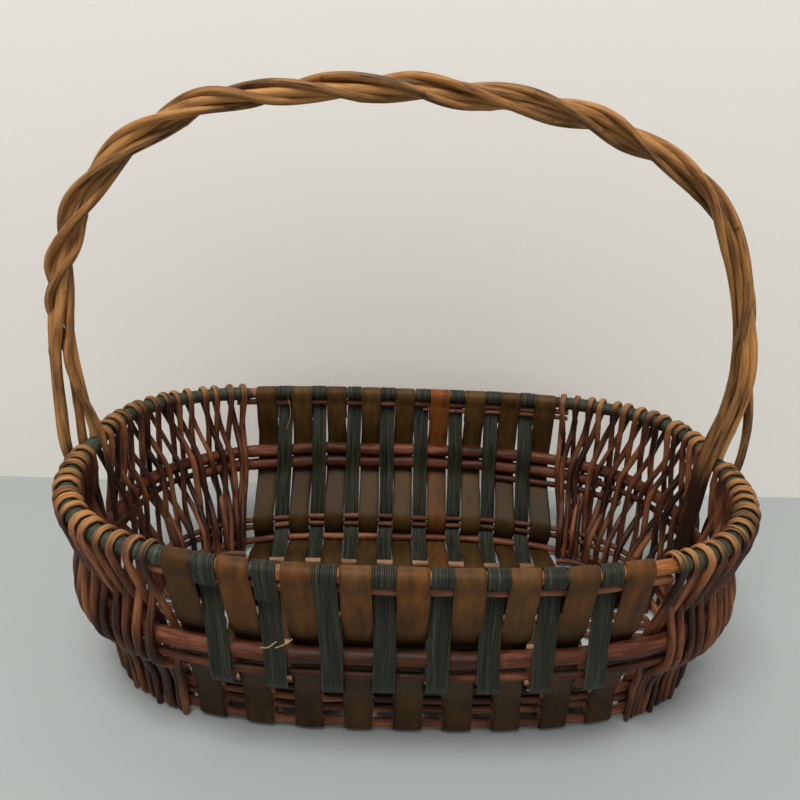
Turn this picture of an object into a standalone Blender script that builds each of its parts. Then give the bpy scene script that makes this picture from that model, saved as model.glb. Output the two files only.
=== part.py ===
"""An oval foraging basket in metres, +Z up, standing on z = 0 with its long side along X.

Willow stakes loop over the rim at both ends, flat splints and cane ribbons cross the middle, lengthwise
rods are woven between them, and a handle of five twisted rods joins the two ends.
"""

import bisect
import math

import bmesh
import bpy
import numpy as np
from mathutils import Vector

# The wall, measured at the centres of the rods that run round it
PLAN_POWER = 2.9
RIM_HALF_LENGTH = 0.240
RIM_HALF_WIDTH = 0.156
RIM_HEIGHT = 0.1447
RIM_END_LIFT = 0.0085
CENTRE_SHIFT = 0.0008  # of the rim's centre from the origin, which is under the middle of the whole
MID_HALF_LENGTH = 0.2335
MID_HALF_WIDTH = 0.1525
MID_UPPER_HEIGHT = 0.088
MID_LOWER_HEIGHT = 0.0745
THIN_HEIGHT = 0.0642
THIN_OUT = 0.002  # further out than the wall's slope between the low rods and the mid rods
LOW_HALF_LENGTH = 0.2195
LOW_HALF_WIDTH = 0.123
LOW_UPPER_HEIGHT = 0.0288
LOW_LOWER_HEIGHT = 0.0211
FOOT_HALF_LENGTH = 0.218
FOOT_HALF_WIDTH = 0.121
BASE_SHIFT = 0.003  # how far the floor lies to the right of the rim's middle

# Rods, binding and stakes
HOOP_RADIUS = 0.0047
BINDING_THICKNESS = 0.001
TOP_RADIUS = 0.00275
TOP_SECOND_RADIUS = 0.0022
MID_UPPER_RADIUS = 0.0055
MID_LOWER_RADIUS = 0.0028
MID_BACK_RADIUS = 0.0056
THIN_RADIUS = 0.0029
LOW_RADIUS = 0.0025
FOOT_RADIUS = 0.0032
FLOOR_RADIUS = 0.003
FLOOR_END_RADIUS = 0.0023
STAKE_RADIUS = 0.00235
STAKE_TIP_RADIUS = 0.002
GAP = 0.00035
BEND_GAP = 0.0006  # off a ring, whose straight runs lie a little inside its curve
BUTT_GAP = 0.001

# Splints and ribbons, which cross from rim to rim under the floor
SPLINT_COUNT = 9
SPLINT_PITCH = 0.0335
SPLINT_WIDTH = 0.018
SPLINT_THICKNESS = 0.0012
SPLINT_TAIL = 0.028
RIBBON_WIDTH = 0.013
RIBBON_THICKNESS = 0.0016
RIBBON_TAIL = 0.008
FLAT_HALF_RUN = 0.005
RIBBON_OVER_THE_FRONT = 3
FRONT_SHIFT_SHARES = (-0.12, -0.12, -0.015, 0.0, -0.015, -0.03, -0.075, -0.045, 0.0)
BACK_SHIFT_SHARES = (0.13, 0.10, 0.09, 0.09, 0.05, 0.06, 0.09, 0.08, 0.05)

# Where lengthwise rods start and end, along X or as an angle of the plan
RING_STEPS = 54
FLOOR_COUNT = 5
FLOOR_PITCH = 0.039
FLOOR_OVERHANG = 0.002
FLOOR_END_START = 0.005
FLOOR_END_PITCH = 0.0135
FLOOR_END_LEAST_RUN = 0.006
TOP_OVERHANG = 0.014
TOP_SECOND_START = 0.02
THIN_START = 0.08
THIN_END_ANGLE = math.radians(33)
BARE_ANGLE = math.radians(304)
MID_LEFT_ANGLE = math.radians(137)
MID_RIGHT_ANGLE = math.radians(43)
LOW_UPPER_ANGLE = math.radians(152)
LOW_LOWER_ANGLE = math.radians(28)
FOOT_ANGLE = math.radians(163)

# Stakes, in each quarter of the rim: loops from the end's middle to the last splint
LOOPS_IN_QUARTER = 14
STAKES_IN_QUARTER = 4
FIRST_LOOP = 0.0185
LAST_LOOP_CLEARANCE = 0.009
OUTER_LEAN_SHARE = 0.115
INNER_LEAN_SHARE = 0.042
MID_LEAN_SHARE = 0.8
STAKE_BELLY = 0.005
INNER_STEP = 0.0012

# Handle
HANDLE_RODS = 5
HANDLE_ROD_RADIUS = 0.00325
HANDLE_TWIST_RADIUS = 0.0061
HANDLE_TURNS = 3.1
HANDLE_STATIONS = 31
ARCH_HALF_SPAN = 0.25
ARCH_RISE = 0.2603
ARCH_SHARES = (
    (-1.01, 0.312), (-0.99, 0.528), (-0.935, 0.661), (-0.865, 0.759), (-0.74, 0.864), (-0.605, 0.935),
    (-0.42, 0.9725), (-0.21, 0.995), (0.0, 1.0), (0.20, 0.985), (0.41, 0.953), (0.62, 0.874),
    (0.795, 0.767), (0.897, 0.617), (0.957, 0.445), (0.981, 0.302),
)
LANE_PITCH = 0.0069
RIGHT_LANE_SHIFT = 0.0044  # towards the front
THIN_LANE_PITCH = 0.0045
THIN_TIP_LANE_PITCH = 0.011
OUTSIDE_STAND = 0.012  # off the rim, of the handle rod furthest out
OUTSIDE_TURN_HEIGHT = 0.025
OUTSIDE_FOOT_HEIGHT = 0.066
INSIDE_FOOT_HEIGHT = 0.056
THIN_FOOT_HEIGHT = 0.096
THIN_SHARE = 0.8  # of a handle rod's radius, where it ends thin
THIN_STEP = 0.0015  # further off the rim, so that the thin end clears it on the way past

# Worked out from the sizes above
BINDING_RADIUS = HOOP_RADIUS + GAP + BINDING_THICKNESS
FOOT_HEIGHT = 2 * STAKE_TIP_RADIUS + GAP + FOOT_RADIUS
FLOOR_HEIGHT = RIBBON_THICKNESS + GAP + FLOOR_RADIUS
TOP_DROP = BINDING_RADIUS + GAP + TOP_RADIUS
TOP_SECOND_DROP = TOP_DROP + TOP_RADIUS + GAP + TOP_SECOND_RADIUS + GAP
SPLINT_REACH = (SPLINT_COUNT - 1) / 2 * SPLINT_PITCH + SPLINT_WIDTH / 2

# The thin rod lies on the wall's slope, so its ring is this share of the way from low rods to mid rods
THIN_CLIMB = (THIN_HEIGHT - LOW_UPPER_HEIGHT) / (MID_LOWER_HEIGHT - LOW_UPPER_HEIGHT)
THIN_HALF_LENGTH = LOW_HALF_LENGTH + (MID_HALF_LENGTH - LOW_HALF_LENGTH) * THIN_CLIMB
THIN_HALF_WIDTH = LOW_HALF_WIDTH + (MID_HALF_WIDTH - LOW_HALF_WIDTH) * THIN_CLIMB + THIN_OUT

# Rings of the wall: half length, half width, height and how much the ends rise
HOOP = (RIM_HALF_LENGTH, RIM_HALF_WIDTH, RIM_HEIGHT, RIM_END_LIFT)
MID_UPPER = (MID_HALF_LENGTH, MID_HALF_WIDTH, MID_UPPER_HEIGHT, 0)
MID_LOWER = (MID_HALF_LENGTH, MID_HALF_WIDTH, MID_LOWER_HEIGHT, 0)
THIN = (THIN_HALF_LENGTH, THIN_HALF_WIDTH, THIN_HEIGHT, 0)
LOW_UPPER = (LOW_HALF_LENGTH, LOW_HALF_WIDTH, LOW_UPPER_HEIGHT, 0)
LOW_LOWER = (LOW_HALF_LENGTH, LOW_HALF_WIDTH, LOW_LOWER_HEIGHT, 0)
FOOT = (FOOT_HALF_LENGTH, FOOT_HALF_WIDTH, FOOT_HEIGHT, 0)
BELLY = tuple((upper + lower) / 2 for upper, lower in zip(HOOP, MID_UPPER))


def clear_scene():
    for obj in list(bpy.data.objects):
        bpy.data.objects.remove(obj, do_unlink=True)


def make_material(name, colour, roughness):
    material = bpy.data.materials.new(name)
    material.use_nodes = True
    shader = material.node_tree.nodes["Principled BSDF"]
    shader.inputs["Base Color"].default_value = (*colour, 1)
    shader.inputs["Roughness"].default_value = roughness
    return material


def add_part(name, data, colour, roughness=0.6):
    """A new object for the basket, with a material of its own."""
    obj = bpy.data.objects.new(name, data)
    obj.parent = bpy.data.objects["rim_centre"]
    data.materials.append(make_material(name, colour, roughness))
    bpy.data.collections["foraging_basket"].objects.link(obj)
    return obj


def oval(ring, angle):
    """The ring's point at this angle of its plan, and the outward direction there."""
    half_length, half_width, height, lift = ring
    along, across = math.cos(angle), math.sin(angle)
    x = math.copysign(abs(along) ** (2 / PLAN_POWER), along)
    y = math.copysign(abs(across) ** (2 / PLAN_POWER), across)
    outward = Vector((
        math.copysign(abs(x) ** (PLAN_POWER - 1), x) / half_length,
        math.copysign(abs(y) ** (PLAN_POWER - 1), y) / half_width,
        0,
    )).normalized()
    return Vector((x * half_length, y * half_width, height + lift * abs(x) ** 3)), outward


def on_ring(ring, angle, out=0, up=0):
    point, outward = oval(ring, angle)
    return point + outward * out + Vector((0, 0, up))


def angle_at_x(ring, x):
    """The plan angle, on the back half of the ring, where it passes over x."""
    return math.acos(math.copysign(abs(x / ring[0]) ** (PLAN_POWER / 2), x))


def quarter_walk(ring, steps=300):
    """Distances walked along a ring from its end's middle to the last splint, with the angle at each."""
    last = angle_at_x(ring, SPLINT_REACH + LAST_LOOP_CLEARANCE)
    angles = [last * step / steps for step in range(steps + 1)]
    walked = [0.0]
    for first, second in zip(angles, angles[1:]):
        walked.append(walked[-1] + (oval(ring, second)[0] - oval(ring, first)[0]).length)
    return walked, angles


def leaned(point):
    """The point moved along X as the whole wall leans: not at all at the rim, and by BASE_SHIFT at the floor."""
    return point + Vector((BASE_SHIFT * (1 - min(point.z / RIM_HEIGHT, 1)), 0, 0))


def add_rod(name, points, radius, colour, radii_shares=None):
    """A round rod along straight runs between the points, with closed ends."""
    curve = bpy.data.curves.new(name, "CURVE")
    curve.dimensions = "3D"
    curve.bevel_depth = radius
    curve.bevel_resolution = 1
    curve.use_fill_caps = True
    spline = curve.splines.new("POLY")
    spline.points.add(len(points) - 1)
    for place, point in enumerate(points):
        spline.points[place].co = (*leaned(point), 1)
        spline.points[place].radius = radii_shares[place] if radii_shares else 1
    spline.use_smooth = True
    return add_part(name, curve, colour)


def ring_angles(start, end):
    """Angles from start to end along the shared steps of the rings, with both ends included."""
    step = 2 * math.pi / RING_STEPS
    first = math.floor(start / step) + 1
    inner = [step * count for count in range(first, math.ceil(end / step))]
    least = step / 4
    inner = [angle for angle in inner if angle - start > least and end - angle > least]
    return [start] + inner + [end]


def add_ring_rod(name, ring, start, end, radius, colour):
    points = [on_ring(ring, angle) for angle in ring_angles(start, end)]
    return add_rod(name, points, radius, colour)


def butt(ring, angle, side=1, step=math.radians(1)):
    """The angle of a cut end, half the butt gap to one side of a joint at this angle."""
    reach = (on_ring(ring, angle + step) - on_ring(ring, angle)).length
    return angle + side * step * BUTT_GAP / 2 / reach


def add_rim():
    """The willow hoop, and the cane binding wound round it, which leaves one short stretch bare."""
    step = 2 * math.pi / RING_STEPS
    angles = [BARE_ANGLE + step * count for count in range(RING_STEPS)]
    points = [on_ring(HOOP, angle) for angle in angles]
    hoop = add_rod("rim_hoop", points, HOOP_RADIUS, (0.42, 0.20, 0.07))
    hoop.data.splines[0].use_cyclic_u = True
    binding = add_rod("rim_binding", points, HOOP_RADIUS + GAP, (0.05, 0.06, 0.045))
    binding.data.use_fill_caps = False
    wall = binding.modifiers.new("wall", "SOLIDIFY")
    wall.thickness = BINDING_THICKNESS
    wall.offset = 1


def add_top_rods():
    """Thin rods held under the rim by the splints."""
    colour = (0.30, 0.13, 0.08)
    reach = SPLINT_REACH + TOP_OVERHANG
    first, last = angle_at_x(HOOP, reach), angle_at_x(HOOP, -reach)
    under = (*HOOP[:2], RIM_HEIGHT - TOP_DROP, RIM_END_LIFT)
    add_ring_rod("top_rod_back", under, first, last, TOP_RADIUS, colour)
    add_ring_rod("top_rod_front", under, 2 * math.pi - last, 2 * math.pi - first, TOP_RADIUS, colour)
    second = (*HOOP[:2], RIM_HEIGHT - TOP_SECOND_DROP, RIM_END_LIFT)
    start = angle_at_x(HOOP, TOP_SECOND_START)
    add_ring_rod("top_rod_back_second", second, first, start, TOP_SECOND_RADIUS, colour)


def add_mid_rods():
    """Thick rods at mid height: one pair wraps the front and both ends, another runs along the back."""
    colour = (0.26, 0.12, 0.08)
    turn = 2 * math.pi
    for name, ring, front_radius in (
        ("upper", MID_UPPER, MID_UPPER_RADIUS),
        ("lower", MID_LOWER, MID_LOWER_RADIUS),
    ):
        left, right = butt(ring, MID_LEFT_ANGLE), butt(ring, MID_RIGHT_ANGLE, -1)
        add_ring_rod(f"mid_rod_front_{name}", ring, left, right + turn, front_radius, colour)
        left, right = butt(ring, MID_LEFT_ANGLE, -1), butt(ring, MID_RIGHT_ANGLE)
        add_ring_rod(f"mid_rod_back_{name}", ring, right, left, MID_BACK_RADIUS, colour)
    start = angle_at_x(THIN, THIN_START)
    add_ring_rod("mid_rod_back_thin", THIN, THIN_END_ANGLE, start, THIN_RADIUS, colour)


def add_low_rods():
    """Two thin rods near the floor and the foot rod at its edge, each one bent round into a ring."""
    for name, ring, angle, radius, colour in (
        ("low_rod_upper", LOW_UPPER, LOW_UPPER_ANGLE, LOW_RADIUS, (0.24, 0.11, 0.08)),
        ("low_rod_lower", LOW_LOWER, LOW_LOWER_ANGLE, LOW_RADIUS, (0.24, 0.11, 0.08)),
        ("foot_rod", FOOT, FOOT_ANGLE, FOOT_RADIUS, (0.42, 0.19, 0.09)),
    ):
        start, end = butt(ring, angle), butt(ring, angle, -1) + 2 * math.pi
        add_ring_rod(name, ring, start, end, radius, colour)


def floor_rod_places():
    return [(count - (FLOOR_COUNT - 1) / 2) * FLOOR_PITCH for count in range(FLOOR_COUNT)]


def add_floor_rods():
    reach = SPLINT_REACH + FLOOR_OVERHANG
    for number, y in enumerate(floor_rod_places(), 1):
        ends = [Vector((-reach, y, FLOOR_HEIGHT)), Vector((reach, y, FLOOR_HEIGHT))]
        add_rod(f"floor_rod_{number}", ends, FLOOR_RADIUS, (0.50, 0.28, 0.15))


def add_floor_ends():
    """A rod laid to and fro fills the floor between the last splint and each end of the foot rod."""
    start = SPLINT_REACH + FLOOR_END_START
    inset = FOOT_RADIUS + BEND_GAP + 2 * STAKE_RADIUS + 2 * GAP + FLOOR_END_RADIUS
    half_rows = int(FOOT_HALF_WIDTH / FLOOR_END_PITCH)
    rows = []
    for count in range(-half_rows, half_rows):
        y = (count + 0.5) * FLOOR_END_PITCH
        angle = math.asin(abs(y / FOOT_HALF_WIDTH) ** (PLAN_POWER / 2))
        point, outward = oval(FOOT, angle)
        end = point.x - inset / outward.x
        if end - start > FLOOR_END_LEAST_RUN:
            rows.append((y, end))
    for name, side in (("left", -1), ("right", 1)):
        points = []
        for count, (y, end) in enumerate(rows):
            run = [Vector((side * start, y, FLOOR_HEIGHT)), Vector((side * end, y, FLOOR_HEIGHT))]
            points += run if count % 2 == 0 else run[::-1]
        add_rod(f"floor_end_rod_{name}", points, FLOOR_END_RADIUS, (0.32, 0.16, 0.08))


def octagon(reach, corners):
    """Corners of the eight-sided path round a ring's rod that keeps this far from its centre.

    Corner 1 is up and outside, 7 is up and inside, and those between go over the top.
    """
    corner = reach / math.cos(math.pi / 8)
    return [(corner * math.cos(k * math.pi / 8), corner * math.sin(k * math.pi / 8)) for k in corners]


def wall_path(thickness, tail, side, top_side, is_back):
    """Places of a splint or ribbon on one long wall, foot to rim, as (ring, out, up).

    side is 1 where it passes outside the foot rod and -1 inside, and top_side the same at the top rod.
    """
    half = thickness / 2 + BEND_GAP
    low, mid, top = LOW_RADIUS + half, MID_BACK_RADIUS + half, TOP_RADIUS + half
    low_side, mid_side = (-side, side) if is_back else (side, -side)
    if side > 0:
        path = [(FOOT, out, up) for out, up in octagon(FOOT_RADIUS + half, (-3, -1))]
        path += [(FOOT, FOOT_RADIUS + half, FOOT_RADIUS / 2)]
    else:
        path = [(FOOT, -FOOT_RADIUS - half, FOOT_RADIUS)]
    path += [
        (LOW_LOWER, low_side * low, -LOW_RADIUS),
        (LOW_UPPER, low_side * low, LOW_RADIUS / 2),
        (MID_LOWER, mid_side * mid, -MID_BACK_RADIUS),
        (MID_UPPER, mid_side * mid, MID_BACK_RADIUS),
    ]
    if is_back:
        path += [(HOOP, top_side * (TOP_SECOND_RADIUS + half), -TOP_SECOND_DROP)]
    path += [(HOOP, top_side * top, -TOP_DROP)]
    over = (-1, 1, 3, 5, 7) if top_side > 0 else (9, 7, 5, 3, 1)
    path += [(HOOP, out, up) for out, up in octagon(BINDING_RADIUS + half, over)]
    return path + [(HOOP, -top_side * (BINDING_RADIUS + half), -tail)]


def floor_path(thickness, side):
    """Places of a splint or ribbon on the floor, front to back, as (y, z)."""
    path = []
    for count, y in enumerate(floor_rod_places()):
        if side * (-1) ** count < 0:
            path += [(y - FLAT_HALF_RUN, thickness / 2), (y + FLAT_HALF_RUN, thickness / 2)]
        else:
            path += [(y, FLOOR_HEIGHT + FLOOR_RADIUS + GAP + thickness / 2)]
    return path


def wall_point(place, x, side):
    """The point at x that is this place of a wall path, on the front (-1) or back (1) wall."""
    ring, out, up = place
    point, outward = oval(ring, angle_at_x(ring, x))
    return Vector((x, side * (point.y + out / outward.y), point.z + up))


def add_band(name, number, width, thickness, tails, side, front_top_side, colour):
    """A flat band from the front rim, under the floor, to the back rim. number counts splint pitches."""
    x_floor = (number - (SPLINT_COUNT - 1) / 2) * SPLINT_PITCH
    splints = range(SPLINT_COUNT)
    x_front = x_floor + SPLINT_PITCH * np.interp(number, splints, FRONT_SHIFT_SHARES)
    x_back = x_floor + SPLINT_PITCH * np.interp(number, splints, BACK_SHIFT_SHARES)
    front = wall_path(thickness, tails[0], side, front_top_side, is_back=False)
    back = wall_path(thickness, tails[1], side, -side, is_back=True)

    def wall_edge(path, x_rim, edge, y_side):
        points = []
        for place in path:
            height = (place[0][2] + place[2] - FOOT_HEIGHT) / (RIM_HEIGHT - FOOT_HEIGHT)
            x = x_floor + (x_rim - x_floor) * min(max(height, 0), 1) + edge
            points.append(wall_point(place, x, y_side))
        return points

    edges = []
    for edge in (-width / 2, width / 2):
        floor = [Vector((x_floor + edge, y, z)) for y, z in floor_path(thickness, side)]
        front_points = wall_edge(front, x_front, edge, -1)
        edges.append(front_points[::-1] + floor + wall_edge(back, x_back, edge, 1))
    mesh = bpy.data.meshes.new(name)
    bm = bmesh.new()
    runs = len(edges[0]) - 1
    bmesh.ops.create_grid(bm, x_segments=1, y_segments=runs, size=1)
    for vert in bm.verts:
        row = round((vert.co.y + 1) / 2 * runs)
        vert.co = leaned(edges[vert.co.x > 0][row])
    bm.to_mesh(mesh)
    bm.free()
    band = add_part(name, mesh, colour)
    wall = band.modifiers.new("thickness", "SOLIDIFY")
    wall.thickness = thickness
    wall.offset = 0
    wall.use_even_offset = True


def add_splints():
    """Flat wooden splints, outside the foot rod, with long tails inside the front and outside the back."""
    tails = (SPLINT_TAIL, SPLINT_TAIL)
    for number in range(SPLINT_COUNT):
        name = f"splint_{number + 1}"
        add_band(name, number, SPLINT_WIDTH, SPLINT_THICKNESS, tails, 1, 1, (0.21, 0.13, 0.06))


def add_ribbons():
    """Cane ribbons between the splints, which pass each rod on its other side."""
    for number in range(SPLINT_COUNT - 1):
        name = f"ribbon_{number + 1}"
        is_over = number + 1 == RIBBON_OVER_THE_FRONT
        tails = (SPLINT_TAIL if is_over else RIBBON_TAIL, RIBBON_TAIL)
        top_side = 1 if is_over else -1
        centre = number + 1 / 2
        add_band(name, centre, RIBBON_WIDTH, RIBBON_THICKNESS, tails, -1, top_side, (0.07, 0.08, 0.06))


def add_stakes():
    """Willow stakes, each looped three or four times over the rim and under the foot rod."""
    walks = {ring: quarter_walk(ring) for ring in (HOOP, BELLY, MID_UPPER, MID_LOWER, LOW_UPPER, FOOT)}
    first = FIRST_LOOP / walks[HOOP][0][-1]
    tip_share = STAKE_TIP_RADIUS / STAKE_RADIUS
    rim = octagon(BINDING_RADIUS + BEND_GAP + STAKE_RADIUS, (7, 5, 3, 1))
    mid = MID_BACK_RADIUS + BEND_GAP + STAKE_RADIUS
    low = LOW_RADIUS + BEND_GAP + STAKE_RADIUS
    foot = FOOT_RADIUS + GAP + STAKE_TIP_RADIUS

    def point(ring, share, out, up):
        walked, angles = walks[ring]
        return on_ring(ring, np.interp(share * walked[-1], walked, angles), out, up)

    def loop(count):
        """One loop, inside foot to outside foot, as (point, radius share)."""
        way = count / (LOOPS_IN_QUARTER - 1)
        share = first + (1 - first) * way
        inner = share - INNER_LEAN_SHARE * math.sin(math.pi * way)
        lean = OUTER_LEAN_SHARE * math.sin(math.pi * way)
        return [
            (point(FOOT, inner, -foot - INNER_STEP, -foot), tip_share),
            (point(LOW_UPPER, inner, -low, LOW_RADIUS), 1),
            (point(MID_UPPER, share, -mid, STAKE_RADIUS), 1),
            *((point(HOOP, share, out, up), 1) for out, up in rim),
            (point(BELLY, share + lean * MID_LEAN_SHARE / 2, mid + STAKE_BELLY, 0), 1),
            (point(MID_LOWER, share + lean * MID_LEAN_SHARE, mid, -STAKE_RADIUS), 1),
            (point(FOOT, share + lean, foot, -foot), tip_share),
        ]

    for end, x_side in (("left", -1), ("right", 1)):
        for face, y_side in (("front", -1), ("back", 1)):
            for number in range(STAKES_IN_QUARTER):
                start = number * LOOPS_IN_QUARTER // STAKES_IN_QUARTER
                stop = (number + 1) * LOOPS_IN_QUARTER // STAKES_IN_QUARTER
                places = [place for count in range(start, stop) for place in loop(count)]
                points, shares = zip(*places)
                points = [Vector((x_side * p.x, y_side * p.y, p.z)) for p in points]
                name = f"stake_{end}_{face}_{number + 1}"
                add_rod(name, points, STAKE_RADIUS, (0.27, 0.11, 0.06), shares)


def smooth_path(points, steps):
    """Evenly spaced points on a smooth curve through these points, as (point, direction)."""
    padded = [2 * points[0] - points[1], *points, 2 * points[-1] - points[-2]]
    fine = []
    for p0, p1, p2, p3 in zip(padded, padded[1:], padded[2:], padded[3:]):
        for count in range(20):
            t = count / 20
            fine.append(
                0.5 * (2 * p1 + (p2 - p0) * t + (2 * p0 - 5 * p1 + 4 * p2 - p3) * t**2
                       + (3 * p1 - p0 - 3 * p2 + p3) * t**3)
            )
    fine.append(points[-1])
    walked = [0.0]
    for first, second in zip(fine, fine[1:]):
        walked.append(walked[-1] + (second - first).length)
    path = []
    for count in range(steps):
        place = min(max(bisect.bisect(walked, walked[-1] * count / (steps - 1)), 1), len(fine) - 1)
        start, end = fine[place - 1], fine[place]
        share = (walked[-1] * count / (steps - 1) - walked[place - 1]) / (walked[place] - walked[place - 1])
        path.append((start.lerp(end, share), (end - start).normalized()))
    return path


def handle_foot(side, route, lane, stand):
    """Places of one handle rod at the end of the basket, rim to tip, as (point, radius share)."""
    rim_z = RIM_HEIGHT + RIM_END_LIFT
    rod = HANDLE_ROD_RADIUS * (1 if route in ("outside", "inside") else THIN_SHARE)
    clear = BINDING_RADIUS + BEND_GAP + rod
    mid = MID_BACK_RADIUS + BEND_GAP + rod
    y = lane * LANE_PITCH - (RIGHT_LANE_SHIFT if side > 0 else 0)
    if route == "outside":
        off_rim = RIM_HALF_LENGTH + clear + OUTSIDE_STAND * stand
        places = [
            (off_rim, y, rim_z + OUTSIDE_TURN_HEIGHT, 1),
            (off_rim, y, rim_z + BINDING_RADIUS, 1),
            (MID_HALF_LENGTH + mid, y, MID_UPPER_HEIGHT, 1),
            (MID_HALF_LENGTH + mid, y, OUTSIDE_FOOT_HEIGHT, 1),
        ]
    elif route == "inside":
        places = [
            (RIM_HALF_LENGTH - clear, y, rim_z + BINDING_RADIUS, 1),
            (MID_HALF_LENGTH - mid, y, MID_UPPER_HEIGHT, 1),
            (MID_HALF_LENGTH - mid, y, INSIDE_FOOT_HEIGHT, 1),
        ]
    elif route == "rim":
        places = [(RIM_HALF_LENGTH, lane * THIN_LANE_PITCH, rim_z + BINDING_RADIUS + GAP, THIN_SHARE)]
    else:
        places = [
            (RIM_HALF_LENGTH - clear - THIN_STEP, lane * THIN_LANE_PITCH, rim_z + BINDING_RADIUS, THIN_SHARE),
            (MID_HALF_LENGTH - mid, lane * THIN_TIP_LANE_PITCH, THIN_FOOT_HEIGHT, THIN_SHARE),
        ]
    return [(Vector((side * x, y, z)), share) for x, y, z, share in places]


def add_handle():
    """Five rods twisted together over the basket, whose ends part to pass the rim at each foot."""
    base = RIM_HEIGHT + RIM_END_LIFT
    keys = [Vector((x * ARCH_HALF_SPAN, 0, base + z * ARCH_RISE)) for x, z in ARCH_SHARES]
    arch = smooth_path(keys, HANDLE_STATIONS)
    left = (("outside", 0, 1), ("outside", 1, 0), ("rim", 1, 0), ("thin inside", -1, 0), ("outside", -1, 0.5))
    right = (("rim", -1, 0), ("outside", 1, 0.85), ("inside", 1, 0), ("inside", 0, 0), ("inside", -1, 0))
    for number in range(HANDLE_RODS):
        twisted = []
        for count, (centre, along) in enumerate(arch):
            turn = 2 * math.pi * (number / HANDLE_RODS - HANDLE_TURNS * count / (HANDLE_STATIONS - 1))
            outward = Vector((-along.z, 0, along.x))
            offset = outward * math.cos(turn) + Vector((0, math.sin(turn), 0))
            twisted.append((centre + offset * HANDLE_TWIST_RADIUS, 1))
        places = handle_foot(-1, *left[number])[::-1] + twisted + handle_foot(1, *right[number])
        points, shares = zip(*places)
        add_rod(f"handle_rod_{number + 1}", points, HANDLE_ROD_RADIUS, (0.36, 0.17, 0.06), shares)


def main():
    clear_scene()
    basket = bpy.data.collections.new("foraging_basket")
    bpy.context.scene.collection.children.link(basket)
    centre = bpy.data.objects.new("rim_centre", None)
    centre.location.x = CENTRE_SHIFT
    basket.objects.link(centre)
    add_rim()
    add_top_rods()
    add_mid_rods()
    add_low_rods()
    add_floor_rods()
    add_floor_ends()
    add_splints()
    add_ribbons()
    add_stakes()
    add_handle()


main()
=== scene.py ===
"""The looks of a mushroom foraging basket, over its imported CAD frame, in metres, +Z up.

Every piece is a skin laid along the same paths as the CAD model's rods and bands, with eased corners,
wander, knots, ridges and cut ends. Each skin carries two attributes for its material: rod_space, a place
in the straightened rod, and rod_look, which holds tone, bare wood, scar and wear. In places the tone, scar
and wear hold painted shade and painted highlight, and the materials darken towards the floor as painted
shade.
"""

import math

import bmesh
import bpy
import numpy as np
from mathutils import Matrix, Vector


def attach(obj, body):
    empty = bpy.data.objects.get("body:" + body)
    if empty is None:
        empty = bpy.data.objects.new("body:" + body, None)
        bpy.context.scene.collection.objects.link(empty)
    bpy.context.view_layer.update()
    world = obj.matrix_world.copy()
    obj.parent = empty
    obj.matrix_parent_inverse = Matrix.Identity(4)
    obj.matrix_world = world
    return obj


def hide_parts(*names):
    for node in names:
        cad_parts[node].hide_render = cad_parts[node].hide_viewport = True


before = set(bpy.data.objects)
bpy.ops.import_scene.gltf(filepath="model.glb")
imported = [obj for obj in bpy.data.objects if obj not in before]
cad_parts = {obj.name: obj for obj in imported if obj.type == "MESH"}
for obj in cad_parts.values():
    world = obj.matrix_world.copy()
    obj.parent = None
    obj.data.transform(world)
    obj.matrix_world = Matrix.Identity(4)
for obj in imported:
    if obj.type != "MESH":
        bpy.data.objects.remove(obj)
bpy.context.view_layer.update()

TURN = 2 * math.pi

# The wall's rings, as in the CAD model
PLAN_POWER = 2.9
RIM_HALF_LENGTH = 0.240
RIM_HALF_WIDTH = 0.156
RIM_HEIGHT = 0.1447
RIM_END_LIFT = 0.0085
CENTRE_SHIFT = 0.0008
BASE_SHIFT = 0.003  # how far the floor lies to the right of the rim's middle
MID_HALF_LENGTH = 0.2335
MID_HALF_WIDTH = 0.1525
MID_UPPER_HEIGHT = 0.088
MID_LOWER_HEIGHT = 0.0745
LOW_HALF_LENGTH = 0.2195
LOW_HALF_WIDTH = 0.123
LOW_UPPER_HEIGHT = 0.0288
LOW_LOWER_HEIGHT = 0.0211
THIN_RING = (0.2303, 0.1479, 0.0642, 0)
FOOT_HALF_LENGTH = 0.218
FOOT_HALF_WIDTH = 0.121

# Thickness of the rods and the gaps between them
HOOP_RADIUS = 0.0047
BINDING_RADIUS = 0.00605
PRESSED_BINDING_RADIUS = 0.00495  # under the splints and ribbons, which press it flat
WRAP_GAP = 0.00015
TOP_RADIUS = 0.00275
TOP_SECOND_RADIUS = 0.0022
MID_UPPER_RADIUS = 0.0055
MID_LOWER_RADIUS = 0.0028
MID_BACK_RADIUS = 0.0056
THIN_RADIUS = 0.0029
LOW_RADIUS = 0.0025
FOOT_RADIUS = 0.0032
FLOOR_RADIUS = 0.003
FLOOR_END_RADIUS = 0.0023
STAKE_RADIUS = 0.00235
STAKE_TIP_RADIUS = 0.002
GAP = 0.00035
BEND_GAP = 0.0006

# Splints and ribbons, from left to right
SPLINT_COUNT = 9
SPLINT_PITCH = 0.0335
SPLINT_WIDTH = 0.0186
SPLINT_THICKNESS = 0.0012
SPLINT_TAIL = 0.028
SPLINT_HALF_ROOM = 0.009  # from a splint's middle to where the rods and loops beside it count from
SPLINT_BELLY = ((0.28, 0.0012), (0.5, 0.0040), (0.7, 0.0048))  # share of the way from mid rod to rim, and out
RIBBON_THICKNESS = 0.0016
RIBBON_TAIL = 0.0046
FRONT_RIBBON_TAILS = (0.0098, 0.0158, SPLINT_TAIL, *[RIBBON_TAIL] * 5)
WRAP_END_OUT = 0.0036  # from under the hoop's centre, where a short wrap ends
RIBBON_OVER_THE_FRONT = 3
FLAT_HALF_RUN = 0.005
FRONT_SHIFT_SHARES = (-0.12, -0.12, -0.015, 0.0, -0.015, -0.03, -0.075, -0.045, 0.0)
BACK_SHIFT_SHARES = (0.13, 0.10, 0.09, 0.09, 0.05, 0.06, 0.09, 0.08, 0.05)
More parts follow.
